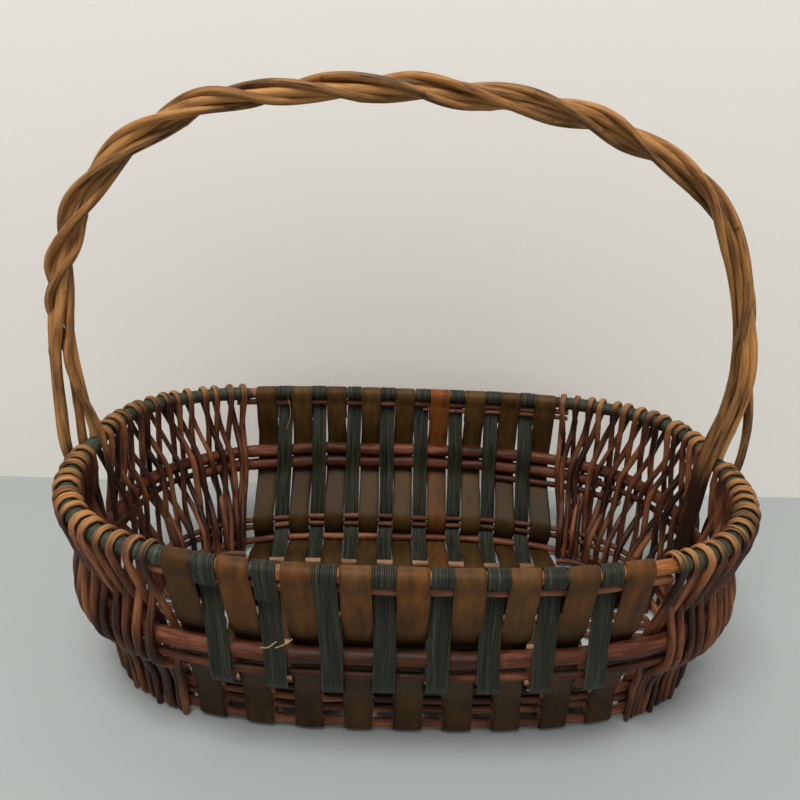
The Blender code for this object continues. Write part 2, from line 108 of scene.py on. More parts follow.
FRONT_BOWS = (0.003, 0.0034, 0.0034, 0.0008, 0.0, -0.0008, -0.0034, -0.0038, -0.003)  # sideways
BOW_BY_HEIGHT = ((0.12, 0.45, 0.62, 0.8, 0.97), (0, 0.75, 1, 0.75, 0))  # shares of the height and of the bow

# Floor and lengthwise rods
FLOOR_COUNT = 5
FLOOR_PITCH = 0.039
FLOOR_OVERHANG = 0.002
FLOOR_END_START = 0.005
FLOOR_END_PITCH = 0.0135
FLOOR_END_LEAST_RUN = 0.006
TOP_OVERHANG = 0.014
TOP_SECOND_START = 0.02
THIN_START = 0.08
THIN_END_ANGLE = math.radians(33)
BARE_START_ANGLE = math.radians(297.9)
BARE_END_ANGLE = math.radians(304)
MID_LEFT_ANGLE = math.radians(137)
MID_RIGHT_ANGLE = math.radians(43)
LOW_UPPER_ANGLE = math.radians(152)
LOW_LOWER_ANGLE = math.radians(28)
FOOT_ANGLE = math.radians(163)
JOINT_HALF_ANGLE = math.radians(0.12)

# Stakes
LOOPS_IN_QUARTER = 14
STAKES_IN_QUARTER = 4
FIRST_LOOP = 0.0185
LAST_LOOP_CLEARANCE = 0.009
INNER_STEP = 0.0012
# How far a leg has leaned towards the splints where it crosses the wall below the rim, from the
# end's middle to the last loop, and how many times that by each ring on the way down
CROSSING_LEANS = (0.0043, 0.0085, 0.0104, 0.0080, 0.0018)
LEAN_AT_BELLY = 0.92
LEAN_AT_MID = 1.76
LEAN_BELOW_MID = 2.1
LEAN_OUTSIDE_MID = 1.25  # the same for the leg that passes outside the mid rods
LEAN_INTO_WAIST = 1.9
LEAN_AT_LOW = 2.4
LEAN_AT_FOOT = 2.5
CROSSING_SHARE = 0.4  # of the way from the mid rods to the rim, where the legs of a loop cross the wall
FRONT_MID_STAND = 0.0008
FRONT_MID_BELOW = MID_LOWER_RADIUS + BEND_GAP + STAKE_RADIUS + FRONT_MID_STAND
FRONT_KEPT_OFF = {"left": 0.0036, "right": 0.0072}  # how far the last front loops stand off from the splints

# Handle
HANDLE_RODS = 5
HANDLE_ROD_RADIUS = 0.00325
HANDLE_TWIST_RADIUS = 0.0061
HANDLE_STATIONS = 110
WOUND_RODS = (1, 2, 3)  # these three wind round the other two, which run nearly straight
WOUND_RADIUS = 0.0029
CORE_RADIUS = 0.0036
CORE_TWIST_RADIUS = 0.0028
WOUND_TWIST_RADII = (0.0061, 0.0077)  # over the core's thin way and over its wide way
# Shares of the arch at which one wound rod takes over from the last at the outer edge
NOTCH_SHARES = (0.055, 0.099, 0.165, 0.258, 0.329, 0.392, 0.471, 0.544, 0.634, 0.702, 0.772, 0.868)
NOTCH_EVENED = 7  # stations over which the winding is evened out
FIRST_NOTCH_TURN = math.radians(84)
WOUND_TURN = math.radians(4 * 360 + 36)
CORE_TURN = math.radians(360 + 36)
# Each rod starts and ends a fifth of a turn from the next, and in between the two kinds spread out evenly
ROD_SPREAD = [math.radians(spread) for spread in (54, -48, 0, 48, -54)]
OPENED_SHARE = 0.08  # of the arch, over which the twist opens out
ARCH_HALF_SPAN = 0.25
ARCH_RISE = 0.2603
ARCH_SHARES = (
    (-1.01, 0.312), (-0.99, 0.528), (-0.935, 0.661), (-0.865, 0.759), (-0.74, 0.864), (-0.605, 0.935),
    (-0.42, 0.9725), (-0.21, 0.995), (0.0, 1.0), (0.20, 0.985), (0.41, 0.953), (0.62, 0.874),
    (0.795, 0.767), (0.897, 0.617), (0.957, 0.445), (0.981, 0.302),
)
LANE_PITCH = 0.0069
RIGHT_LANE_SHIFT = 0.0044
THIN_LANE_PITCH = 0.0045
THIN_TIP_LANE_PITCH = 0.011
OUTSIDE_STAND = 0.012
OUTSIDE_TURN_HEIGHT = 0.025
OUTSIDE_FOOT_HEIGHT = 0.066
INSIDE_FOOT_HEIGHT = 0.056
THIN_FOOT_HEIGHT = 0.096
THIN_SHARE = 0.8
THIN_STEP = 0.0015
# Each rod's route past the rim, its lane and how far it stands off, at the left foot and at the right one
LEFT_FEET = (("outside", 0, 1), ("outside", 1, 0), ("rim", 1, 0), ("thin", -1, 0), ("outside", -1, 0.5))
RIGHT_FEET = (("rim", -1, 0), ("outside", 1, 0.85), ("inside", 1, 0), ("inside", 0, 0), ("inside", -1, 0))

# What follows from these sizes. A ring is its half length, half width, height and lift at the ends
FOOT_HEIGHT = 2 * STAKE_TIP_RADIUS + GAP + FOOT_RADIUS
FLOOR_HEIGHT = RIBBON_THICKNESS + GAP + FLOOR_RADIUS
TOP_DROP = BINDING_RADIUS + GAP + TOP_RADIUS
TOP_SECOND_DROP = TOP_DROP + TOP_RADIUS + GAP + TOP_SECOND_RADIUS + GAP
LAST_SPLINT = (SPLINT_COUNT - 1) / 2 * SPLINT_PITCH
SPLINTS_END = LAST_SPLINT + SPLINT_HALF_ROOM
HOOP = (RIM_HALF_LENGTH, RIM_HALF_WIDTH, RIM_HEIGHT, RIM_END_LIFT)
TOP_RING = (RIM_HALF_LENGTH, RIM_HALF_WIDTH, RIM_HEIGHT - TOP_DROP, RIM_END_LIFT)
TOP_SECOND_RING = (RIM_HALF_LENGTH, RIM_HALF_WIDTH, RIM_HEIGHT - TOP_SECOND_DROP, RIM_END_LIFT)
MID_UPPER = (MID_HALF_LENGTH, MID_HALF_WIDTH, MID_UPPER_HEIGHT, 0)
MID_LOWER = (MID_HALF_LENGTH, MID_HALF_WIDTH, MID_LOWER_HEIGHT, 0)
LOW_UPPER = (LOW_HALF_LENGTH, LOW_HALF_WIDTH, LOW_UPPER_HEIGHT, 0)
LOW_LOWER = (LOW_HALF_LENGTH, LOW_HALF_WIDTH, LOW_LOWER_HEIGHT, 0)
FOOT = (FOOT_HALF_LENGTH, FOOT_HALF_WIDTH, FOOT_HEIGHT, 0)
BELLY = tuple(lower + (upper - lower) * CROSSING_SHARE for upper, lower in zip(HOOP, MID_UPPER))
WAIST = tuple((upper + lower) / 2 for upper, lower in zip(MID_LOWER, LOW_UPPER))

# How much the rim's front is higher in the middle, and from where to where that rise comes in:
# towards the front, towards the middle and up the wall
FRONT_RISE = 0.0032
RISE_TO_FRONT = (0.11, 0.145)
RISE_TO_MIDDLE = (0.2, 0.13)
RISE_UP_WALL = (0.095, 0.13)

# How fine the skins are, and how far before and after a corner a rod starts to bend
STAKE_STATION = 0.0019
ROD_STATION = 0.0022
HANDLE_STATION = 0.0018
RIBBON_STATION = 0.0027
LEAST_STATION = 0.0003
ROD_SIDES = 18
STAKE_SIDES = 12
STRAND_SIDES = 8
SPLINT_LINES = 11
CORNER_STEPS = 6
SPLINT_CORNER_STEPS = 8
SPLINE_STEPS = 12
ARCH_STEPS = 20
EASE = 0.006
MID_EASE = 0.0088
LONG_EASE = 0.014
RIM_EASE = 0.0016
SPLINT_EASE = 0.008
RIBBON_EASE = 0.007
MOST_EASE = 0.49  # of the way to the next corner

# Waves along a rod, as the shortest and the longest in metres and their size, in metres, tone or share
ROD_SWELLS = (0.03, 0.15, 0.04)
ROD_TONES = (0.05, 0.3, 0.12)
RING_ROD_SWAY = (0.05, 0.2, 0.0004)
LOW_ROD_SWAY = (0.05, 0.2, 0.0003)
FLOOR_ROD_SWAY = (0.1, 0.3, 0.0006)
WINDING_SLIPS = (0.05, 0.2, 0.15)
WINDING_SWELLS = (0.03, 0.1, 0.0002)
SPLINT_EDGES = (0.02, 0.15, 0.00035)
SPLINT_CUPS = (0.1, 0.3, 0.0002)
SPLINT_RIPPLES = (0.02, 0.06, 0.00008)
SPLINT_TONES = (0.04, 0.2, 0.08)
RIBBON_SWAY = (0.08, 0.25, 0.0005)
RIBBON_SWING = (0.06, 0.2, 0.0002)
STRAND_SWAY = (0.06, 0.25, 0.00007)
STRAND_SWING = (0.04, 0.2, 0.00012)
LEG_SWAY = (0.09, 0.3, 0.0009)
LEG_SWING = (0.06, 0.2, 0.0003)
STAKE_TONES = (0.06, 0.3, 0.2)
STAKE_SWELLS = (0.2, 0.6, 0.1)
HANDLE_SWAY = (0.1, 0.3, 0.0004)
HANDLE_SLIPS = (0.15, 0.5, 0.08)
HANDLE_WAVES = (0.1, 0.4, 0.17)
HANDLE_SWELLS = (0.2, 0.6, 0.07)
WAVE_COUNT = 4
WAVE_SHARE = 0.55

# Seeds of the random numbers: a piece adds its own number, and each rod along the walls has its own seed
RIM_SEED = 11
FLOOR_SEED = 60
FLOOR_END_SEED = 70
SPLINT_SEED = 100
RIBBON_SEED = 199
STAKE_SEED = 301
HANDLE_SEED = 400

# Tones and wear. The tones of the front rods are by x
FRONT_TOP_TONES = ((-0.15, 0.85), (-0.08, 0.8), (-0.05, 0.5), (0.1, 0.5), (0.135, 0.8))
# Partly the front mid rods' own tone, partly painted light: a painted highlight near x 0.058 and painted
# shade from x -0.065 to 0.04
FRONT_MID_TONES_AND_PAINTED_LIGHT = (
    (-0.15, 0.42), (-0.12, 0.5), (-0.09, 0.45), (-0.065, 0.28), (0.0, 0.26), (0.04, 0.36), (0.058, 0.6),
    (0.075, 0.5), (0.115, 0.48), (0.15, 0.42),
)
HANDLE_TONES = (0.68, 0.46, 0.57, 0.3, 0.48)
# How orange each splint is on the front wall and on the back wall
SPLINT_WARMTH_FRONT = (0.15, 0.45, 0.4, 0.42, 0.45, 0.34, 0.3, 0.26, 0.42)
SPLINT_WARMTH_BACK = (0.1, 0.1, 0.12, 0.08, 0.1, 1.5, 0.12, 0.15, 0.08)


# Paths


def unit(vectors):
    """The vectors at length 1."""
    return vectors / np.linalg.norm(vectors, axis=-1, keepdims=True)


def ramped(value, none, full):
    """The share of the way that a value has come from none to full."""
    return np.clip((value - none) / (full - none), 0, 1)


def faded(value, none, full):
    """The same, with a soft start and end."""
    share = ramped(value, none, full)
    return share**2 * (3 - 2 * share)


def hill(distance, spread):
    return np.exp(-((distance / spread) ** 2))


def signed_power(value, power):
    return math.copysign(abs(value) ** power, value)


def oval(ring, angle):
    """The ring's point at this angle of its plan, and the outward direction there."""
    half_length, half_width, height, lift = ring
    x = signed_power(math.cos(angle), 2 / PLAN_POWER)
    y = signed_power(math.sin(angle), 2 / PLAN_POWER)
    outward = [signed_power(x, PLAN_POWER - 1) / half_length, signed_power(y, PLAN_POWER - 1) / half_width, 0]
    return np.array([x * half_length, y * half_width, height + lift * abs(x) ** 3]), unit(np.array(outward))


def on_ring(ring, angle, out=0.0, up=0.0):
    point, outward = oval(ring, angle)
    return point + outward * out + np.array([0, 0, up])


def angle_at_x(ring, x):
    """The plan angle, on the back half of the ring, where it passes over x."""
    return math.acos(signed_power(x / ring[0], PLAN_POWER / 2))


def walked_along(points):
    return np.concatenate([[0], np.cumsum(np.linalg.norm(np.diff(points, axis=0), axis=1))])


def quarter_walk(ring, steps=300):
    """Distances walked along a ring from its end's middle to the last splint, with the angle at each."""
    angles = np.linspace(0, angle_at_x(ring, SPLINTS_END + LAST_LOOP_CLEARANCE), steps + 1)
    return walked_along(np.array([oval(ring, angle)[0] for angle in angles])), angles


def path_at(places, walked, points):
    """Points at these distances along the path."""
    return np.column_stack([np.interp(places, walked, column) for column in points.T])


def resampled(points, spacing, values=None):
    """The path with even stations this far apart. Values given at its points are carried along."""
    walked = walked_along(points)
    even = np.linspace(0, walked[-1], max(round(walked[-1] / spacing), 2) + 1)
    path = path_at(even, walked, points)
    return path if values is None else (path, np.interp(even, walked, values))


def ring_path(ring, start, end, steps=900):
    """Evenly spaced points along a ring from one angle of its plan to another."""
    angles = np.linspace(start, end, int(abs(end - start) / TURN * steps) + 2)
    return resampled(np.array([on_ring(ring, angle) for angle in angles]), ROD_STATION)


def eased(points, ease=EASE, steps=CORNER_STEPS):
    """The path with each corner turned into a curve, and each station's corner. Equally many points get
    equally many stations."""
    points = np.asarray(points, float)
    ease = np.broadcast_to(ease, len(points))
    out, corners = [points[0]], [0]
    for place in range(1, len(points) - 1):
        before, corner, after = points[place - 1 : place + 2]
        back, on = before - corner, after - corner
        reach = min(ease[place], MOST_EASE * np.linalg.norm(back), MOST_EASE * np.linalg.norm(on))
        start, end = corner + unit(back) * reach, corner + unit(on) * reach
        for share in np.linspace(0, 1, steps):
            out.append((1 - share) ** 2 * start + 2 * share * (1 - share) * corner + share**2 * end)
            corners.append(place)
    return np.array([*out, points[-1]]), np.array([*corners, len(points) - 1])


def splined(points, steps=SPLINE_STEPS):
    """A smooth curve through all of the points, which may be unevenly spaced."""
    points = np.asarray(points, float)
    runs = np.diff(points, axis=0)
    lengths = np.linalg.norm(runs, axis=1)[:, None]
    speeds = runs / lengths
    inner = (speeds[:-1] * lengths[1:] + speeds[1:] * lengths[:-1]) / (lengths[:-1] + lengths[1:])
    slopes = np.vstack([speeds[0], inner, speeds[-1]])
    share = np.linspace(0, 1, steps, endpoint=False)[:, None]
    h0, h1 = (1 + 2 * share) * (1 - share) ** 2, share**2 * (3 - 2 * share)
    g0, g1 = share * (1 - share) ** 2, share**2 * (share - 1)
    curves = [
        h0 * points[n] + h1 * points[n + 1] + lengths[n] * (g0 * slopes[n] + g1 * slopes[n + 1])
        for n in range(len(runs))
    ]
    return np.vstack([*curves, points[-1]])


def waves(rng, shortest, longest, size):
    """A smooth seeded wander along a length, as a function of metres, mostly within size."""
    lengths = rng.uniform(shortest, longest, WAVE_COUNT)
    phases = rng.uniform(0, TURN, WAVE_COUNT)

    def wave(along):
        turns = [np.sin(TURN * along / length + phase) for length, phase in zip(lengths, phases)]
        return size * WAVE_SHARE * sum(turns)

    return wave


def frames(path):
    """Directions along a path and two across it, which turn as little as they can."""
    along = unit(np.gradient(path, axis=0))
    side = np.empty_like(along)
    is_upright = abs(along[0][2]) > 0.9
    side[0] = unit(np.cross(along[0], (0, 1, 0) if is_upright else (0, 0, 1)))
    for place in range(1, len(path)):
        side[place] = unit(side[place - 1] - along[place] * side[place - 1].dot(along[place]))
    return along, side, np.cross(along, side)


def octagon(reach, corners):
    """Corners of the eight-sided path round a ring's rod that keeps this far from its centre."""
    corner = reach / math.cos(math.pi / 8)
    return [(corner * math.cos(k * math.pi / 8), corner * math.sin(k * math.pi / 8)) for k in corners]


# Skins

KNOT_PITCH = 0.05
KNOT_HEIGHT = 0.0004
KNOT_LENGTH = 0.0018
KNOT_SIZES = (0.4, 1.1)
KNOT_STRAY = 0.3  # of the pitch
FIRST_KNOT = (0.2, 1)
SCAR_AHEAD = 0.0006
SCAR_LENGTH = 0.0007
CUT_SLANT = 0.3
CUT_SHARES = (0.97, 0.86, 0.45, 0)  # of the radius, for the rings that close a cut end
CUT_RISES = (0.10, 0.17, 0.19, 0.2)
BARE_REACH = 1.4  # of a bare end's stretch, at which the bark is whole
BARE_MOST = 0.8
SPREAD_SHARE = 0.28  # of the share of its thickness that a pressed rod loses, how much wider it gets
LEAST_PRESS = 1e-9
GRAIN_STARTS = (0, 20)  # metres along the straightened wood, from which a piece is cut
GRAIN_SIDES = (0, 2)
SAME_PLACE = 1e-7


def layered(*layers):
    """The layers, each a grid, a row, a column or one value, side by side in the last axis."""
    return np.stack(np.broadcast_arrays(*layers), axis=-1)


def rings(side, across, angle):
    """Directions all round a path, at each of its stations."""
    return np.cos(angle)[None, :, None] * side[:, None, :] + np.sin(angle)[None, :, None] * across[:, None, :]


def repeated(row, times):
    return np.repeat(row[None], times, axis=0)


def add_skin(piece, points, space, look):
    """Adds a closed skin to the piece: rows of points whose last column meets the first."""
    rows, columns = points.shape[:2]
    mesh = bpy.data.meshes.new("skin")
    grid = bmesh.new()
    bmesh.ops.create_grid(grid, x_segments=columns - 1, y_segments=rows - 1, size=1)
    grid.to_mesh(mesh)
    flat = np.empty(len(mesh.vertices) * 3, np.float32)
    mesh.vertices.foreach_get("co", flat)
    row = np.rint((flat[1::3] + 1) / 2 * (rows - 1)).astype(int)
    column = np.rint((flat[::3] + 1) / 2 * (columns - 1)).astype(int)
    shifted = points[row, column] + np.array([CENTRE_SHIFT, 0, 0])
    x, y, z = shifted.T
    x += BASE_SHIFT * (1 - np.minimum(z / RIM_HEIGHT, 1))  # the wall leans, as in the CAD model
    rise = faded(-y, *RISE_TO_FRONT) * faded(np.abs(x), *RISE_TO_MIDDLE) * faded(z, *RISE_UP_WALL)
    z += FRONT_RISE * rise
    mesh.vertices.foreach_set("co", shifted.astype(np.float32).ravel())
    for name, kind, key, facts in (
        ("rod_space", "FLOAT_VECTOR", "vector", space), ("rod_look", "FLOAT_COLOR", "color", look),
    ):
        attribute = mesh.attributes.new(name, kind, "POINT")
        attribute.data.foreach_set(key, facts[row, column].astype(np.float32).ravel())
    grid.clear()
    grid.from_mesh(mesh)
    bmesh.ops.remove_doubles(grid, verts=grid.verts, dist=SAME_PLACE)
    bmesh.ops.recalc_face_normals(grid, faces=grid.faces)
    grid.to_mesh(mesh)
    grid.free()
    piece.from_mesh(mesh)
    bpy.data.meshes.remove(mesh)


def add_ended_skin(piece, body, ends):
    """Adds a skin closed by the rows at its ends. Body and ends each hold points, space and look."""
    parts = zip(ends[0], body, ends[1])
    add_skin(piece, *(np.concatenate([first[::-1], middle, last]) for first, middle, last in parts))


def knotted(rng, walked, angle, pitch):
    """How far a rod's knots swell its skin and how much they scar it."""
    swell, scar = np.zeros((2, len(walked), len(angle)))
    spots = np.arange(rng.uniform(*FIRST_KNOT) * pitch, walked[-1], pitch)
    spots = spots + rng.uniform(-KNOT_STRAY, KNOT_STRAY, len(spots)) * pitch
    for spot, turn in zip(spots, rng.uniform(0, TURN, len(spots))):
        ahead = (walked - spot)[:, None]
        facing = 0.5 + 0.5 * np.cos(angle - turn)
        size = rng.uniform(*KNOT_SIZES)
        bump = hill(ahead, KNOT_LENGTH) * facing**3 + 0.5 * hill(ahead, 3 * KNOT_LENGTH) * facing
        swell += size * KNOT_HEIGHT * bump
        scar = np.maximum(scar, hill(ahead - SCAR_AHEAD, SCAR_LENGTH) * facing**6 * min(size, 1))
    return swell, scar


def add_rod(piece, path, radius, rng, *, sides=ROD_SIDES, tone=0.5, wear=0.0, knots=KNOT_PITCH,
            bare_ends=(0, 0), slant=CUT_SLANT, is_closed=False, press=None):
    """A willow rod along a path of even stations, with knots, uneven thickness and cut ends.

    press has, for each station, the direction in which the rod is pressed, as long as the share it loses.
    """
    walked = walked_along(path)
    along, side, across = frames(path)
    radius = np.broadcast_to(radius, len(path)) * (1 + waves(rng, *ROD_SWELLS)(walked))
    angle = np.linspace(0, TURN, sides + 1)
    swell, scar = knotted(rng, walked, angle, knots) if knots else np.zeros((2, len(path), len(angle)))
    reach = radius[:, None] + swell
    ring = rings(side, across, angle)
    if press is None:
        points = path[:, None, :] + ring * reach[:, :, None]
    else:
        lost = np.linalg.norm(press, axis=1)[:, None, None]
        way = press[:, None, :] / np.maximum(lost, LEAST_PRESS)
        depth = (ring * way).sum(axis=2, keepdims=True)
        flat = ring * (1 + SPREAD_SHARE * lost) - way * depth * lost * (1 + SPREAD_SHARE)
        points = path[:, None, :] + flat * reach[:, :, None]
    tones = np.broadcast_to(tone, len(path)) + waves(rng, *ROD_TONES)(walked)
    start = rng.uniform(*GRAIN_STARTS)
    space = layered(start + walked[:, None], reach * np.cos(angle), reach * np.sin(angle))
    bare = np.zeros(len(path))
    for distance, stretch in zip((walked, walked[-1] - walked), bare_ends):
        if stretch:
            bare = np.maximum(bare, np.clip(BARE_REACH - distance / stretch, 0, BARE_MOST))
    look = layered(tones[:, None], bare[:, None], scar, np.broadcast_to(wear, len(path))[:, None])
    if is_closed:
        points[-1], space[-1, :, 1:] = points[0], space[0, :, 1:]
        add_skin(piece, points, space, look)
        return
    ends = []
    for place, way in ((0, -1), (-1, 1)):
        tilt = rng.uniform(-1, 1) * slant * radius[place] * np.cos(angle - rng.uniform(0, TURN))
        rows = []
        for share, rise in zip(CUT_SHARES, CUT_RISES):
            lift = along[place] * way * (radius[place] * rise + tilt[:, None] * share)
            rows.append(path[place] + ring[place] * reach[place][:, None] * share + lift)
        points[place] += along[place] * way * tilt[:, None]
        facts = repeated(look[place], len(rows))
        facts[1:, :, 1] = 1
        spaces = repeated(space[place], len(rows))
        spaces[:, :, 1:] *= np.array(CUT_SHARES)[:, None, None]
        ends.append((np.array(rows), spaces, facts))
    add_ended_skin(piece, (points, space, look), ends)


def finish_piece(piece, node, slot):
    """The piece as an object that stands for a CAD node of the same name."""
    mesh = bpy.data.meshes.new(node)
    for face in piece.faces:
        face.smooth = True
    piece.to_mesh(mesh)
    piece.free()
    mesh.materials.append(MATERIALS[slot])
    obj = bpy.data.objects.new(f"{node}_fine", mesh)
    bpy.context.scene.collection.objects.link(obj)
    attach(obj, "root")
    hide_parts(node)


def add_rod_piece(node, slot, path, radius, rng, **settings):
    piece = bmesh.new()
    add_rod(piece, path, radius, rng, **settings)
    finish_piece(piece, node, slot)


# Materials

MATERIALS = {}  # by slot, filled by make_materials

# Each bark's dark, middle, light and worn colour, and how strong its streaks are
BARKS = {
    "hoop_willow": ((84, 46, 22), (140, 82, 42), (182, 120, 64), (196, 140, 82), 1.0),
    "top_rod_willow": ((58, 30, 22), (112, 66, 48), (160, 106, 78), (178, 126, 84), 1.0),
    "mid_rod_willow": ((40, 15, 6), (86, 41, 22), (148, 90, 62), (168, 112, 76), 0.6),
    "low_rod_willow": ((40, 20, 12), (96, 54, 35), (152, 96, 62), (174, 116, 74), 1.0),
    "foot_rod_willow": ((66, 33, 20), (124, 70, 46), (176, 114, 76), (192, 132, 84), 1.0),
    "floor_rod_willow": ((96, 60, 40), (166, 122, 90), (206, 166, 130), (214, 176, 136), 1.0),
    "floor_end_willow": ((52, 26, 16), (104, 58, 36), (150, 94, 60), (176, 120, 74), 1.0),
    "stake_willow": ((38, 20, 13), (94, 53, 33), (150, 94, 58), (178, 128, 70), 1.0),
    "handle_willow": ((44, 23, 12), (112, 67, 34), (176, 122, 68), (200, 146, 82), 0.6),
}
# The same colours of each cane, and of the splints, which have one more
CANES = {
    "ribbon_cane": ((11, 11, 7), (28, 29, 19), (64, 68, 54), (72, 76, 58)),
    # The binding's colours are lighter and greener than the ribbons' cane; the lightness is partly painted
    # light for its place on top of the rim
    "binding_cane": ((16, 18, 13), (42, 49, 38), (78, 88, 68), (96, 104, 82)),
}
SPLINT_COLOURS = ((38, 26, 11), (62, 45, 20), (82, 61, 30), (112, 85, 47), (134, 76, 32))
FIBRE_TONE = 0.5
WEAR_MOTTLE = 1.5
WEAR_LEVELS = (-0.25, 0.2)
SCAR_STRENGTH = 0.85
BARE_LEVELS = (-0.2, 0.2)
BARE_DARK = 0.55  # of the bare colour, where its fibres are darkest
SHADE_HEIGHTS = (0.01, 0.13)
ROUGH_LEVELS = (-0.35, 0.35)
STREAK_RELIEF = 0.7


def srgb(red, green, blue):
    """A colour as a screen shows it, 0 to 255, as the linear one that a material takes."""
    def linear(level):
        share = level / 255
        return share / 12.92 if share <= 0.04045 else ((share + 0.055) / 1.055) ** 2.4
    return linear(red), linear(green), linear(blue), 1.0


class Look:
    """A material whose nodes are added one call at a time."""

    def __init__(self, name):
        self.material = bpy.data.materials.new(name)
        self.material.use_nodes = True
        self.tree = self.material.node_tree
        self.shader = self.tree.nodes["Principled BSDF"]

    def add(self, kind, inputs, **settings):
        node = self.tree.nodes.new(kind)
        for key, value in settings.items():
            setattr(node, key, value)
        for key, value in inputs.items():
            self.set(node.inputs[key], value)
        return node

    def set(self, socket, value):
        if isinstance(value, bpy.types.NodeSocket):
            self.tree.links.new(value, socket)
        else:
            socket.default_value = value

    def sum(self, first, second, factor=1.0):
        """first * factor + second"""
        inputs = {0: first, 1: factor, 2: second}
        return self.add("ShaderNodeMath", inputs, operation="MULTIPLY_ADD").outputs[0]

    def times(self, first, second, clamp=False):
        inputs = {0: first, 1: second}
        return self.add("ShaderNodeMath", inputs, operation="MULTIPLY", use_clamp=clamp).outputs[0]

    def noise(self, vector, sizes, detail=3.0, roughness=0.55):
        """Noise around 0 whose features are about these sizes in metres."""
        inputs = {0: vector, 1: [1 / size for size in sizes]}
        scaled = self.add("ShaderNodeVectorMath", inputs, operation="MULTIPLY")
        value = self.add("ShaderNodeTexNoise", {
            "Vector": scaled.outputs[0], "Scale": 1.0, "Detail": detail, "Roughness": roughness,
        }).outputs[0]
        return self.sum(value, -0.5)

    def range(self, value, low, high, to_low=0.0, to_high=1.0):
        return self.add("ShaderNodeMapRange", {
            "Value": value, "From Min": low, "From Max": high, "To Min": to_low, "To Max": to_high,
        }).outputs[0]

    def ramp(self, factor, levels, colours):
        node = self.add("ShaderNodeValToRGB", {0: factor})
        elements = node.color_ramp.elements
        while len(elements) < len(levels):
            elements.new(0.5)
        for element, level, colour in zip(elements, levels, colours):
            element.position = level
            element.color = colour
        return node.outputs[0]

    def blend(self, factor, first, second):
        node = self.add("ShaderNodeMix", {}, data_type="RGBA", blend_type="MIX")
        for key, value in (("Factor_Float", factor), ("A_Color", first), ("B_Color", second)):
            self.set(next(socket for socket in node.inputs if socket.identifier == key), value)
        return next(socket for socket in node.outputs if socket.identifier == "Result_Color")


def wood(name, colours, worn, *, levels, bare, grain, patch, fibre, streaks=1.0, patches=1.0,
         rough=(0.42, 0.68), coat=0.03, sheen=0.25, bump=0.35, depth=0.0004, low_shade=0.7):
    """Bark, split wood or cane, in the straightened rod: streaks, patches, scars, bare cuts, wear and painted
    shade low down.
    """
    look = Look(name)
    colours = [srgb(*colour) for colour in colours]
    space = look.add("ShaderNodeAttribute", {}, attribute_name="rod_space").outputs["Vector"]
    facts = look.add("ShaderNodeAttribute", {}, attribute_name="rod_look")
    tone, bareness, scar = look.add("ShaderNodeSeparateColor", {0: facts.outputs["Color"]}).outputs[:3]
    streak = look.noise(space, grain, 5.0, 0.6)
    mottle = look.noise(space, patch)
    fine = look.noise(space, fibre, 3.0, 0.65)
    level = look.sum(streak, tone, streaks)
    level = look.sum(mottle, level, patches)
    level = look.sum(fine, level, FIBRE_TONE)
    colour = look.ramp(level, levels, colours)
    wear = look.range(look.sum(streak, mottle, WEAR_MOTTLE * streaks), *WEAR_LEVELS)
    colour = look.blend(look.times(facts.outputs["Alpha"], wear, clamp=True), colour, srgb(*worn))
    colour = look.blend(look.times(scar, SCAR_STRENGTH), colour, colours[0])
    pale = srgb(*bare)
    dark = [BARE_DARK * part for part in pale[:3]] + [1.0]
    colour = look.blend(bareness, colour, look.blend(look.range(fine, *BARE_LEVELS), pale, dark))
    place = look.add("ShaderNodeTexCoord", {}).outputs["Object"]
    height = look.add("ShaderNodeSeparateXYZ", {0: place}).outputs["Z"]
    shade = look.range(height, *SHADE_HEIGHTS, low_shade, 1.0)
    shaded = look.add("ShaderNodeVectorMath", {0: colour, "Scale": shade}, operation="SCALE").outputs[0]
    relief = look.sum(fine, streak, STREAK_RELIEF)
    bumped = look.add("ShaderNodeBump", {"Height": relief, "Strength": bump, "Distance": depth})
    for key, value in (
        ("Base Color", shaded),
        ("Roughness", look.range(look.sum(fine, mottle), *ROUGH_LEVELS, *rough)),
        ("Specular IOR Level", sheen),
        ("Coat Weight", coat),
        ("Coat Roughness", 0.35),
        ("Normal", bumped.outputs[0]),
    ):
        look.set(look.shader.inputs[key], value)
    MATERIALS[name] = look.material


def make_materials():
    for name, (*colours, worn, streaks) in BARKS.items():
        wood(
            name, colours, worn, levels=(0.15, 0.5, 0.85), bare=(214, 170, 104), streaks=streaks,
            grain=(0.022, 0.0011, 0.0011), patch=(0.03, 0.004, 0.004), fibre=(0.006, 0.00035, 0.00035),
        )
    for name, (*colours, worn) in CANES.items():
        wood(
            name, colours, worn, levels=(0.1, 0.5, 0.9), bare=(206, 178, 110),
            grain=(0.02, 0.0006, 0.0006), patch=(0.03, 0.004, 0.004), fibre=(0.005, 0.0002, 0.0002),
            streaks=0.6, patches=0.7, rough=(0.4, 0.62), sheen=0.3, depth=0.0002, low_shade=0.75,
        )
    *colours, worn = SPLINT_COLOURS
    wood(
        "splint_wood", colours, worn, levels=(0.1, 0.4, 0.65, 0.9), bare=(180, 140, 88),
        grain=(0.05, 0.0007, 0.004), patch=(0.022, 0.007, 0.02), fibre=(0.012, 0.00025, 0.002),
        streaks=0.16, patches=0.5, rough=(0.42, 0.66), coat=0.02, sheen=0.14, bump=0.2, depth=0.0003,
        low_shade=0.78,
    )


# Rim and lengthwise rods

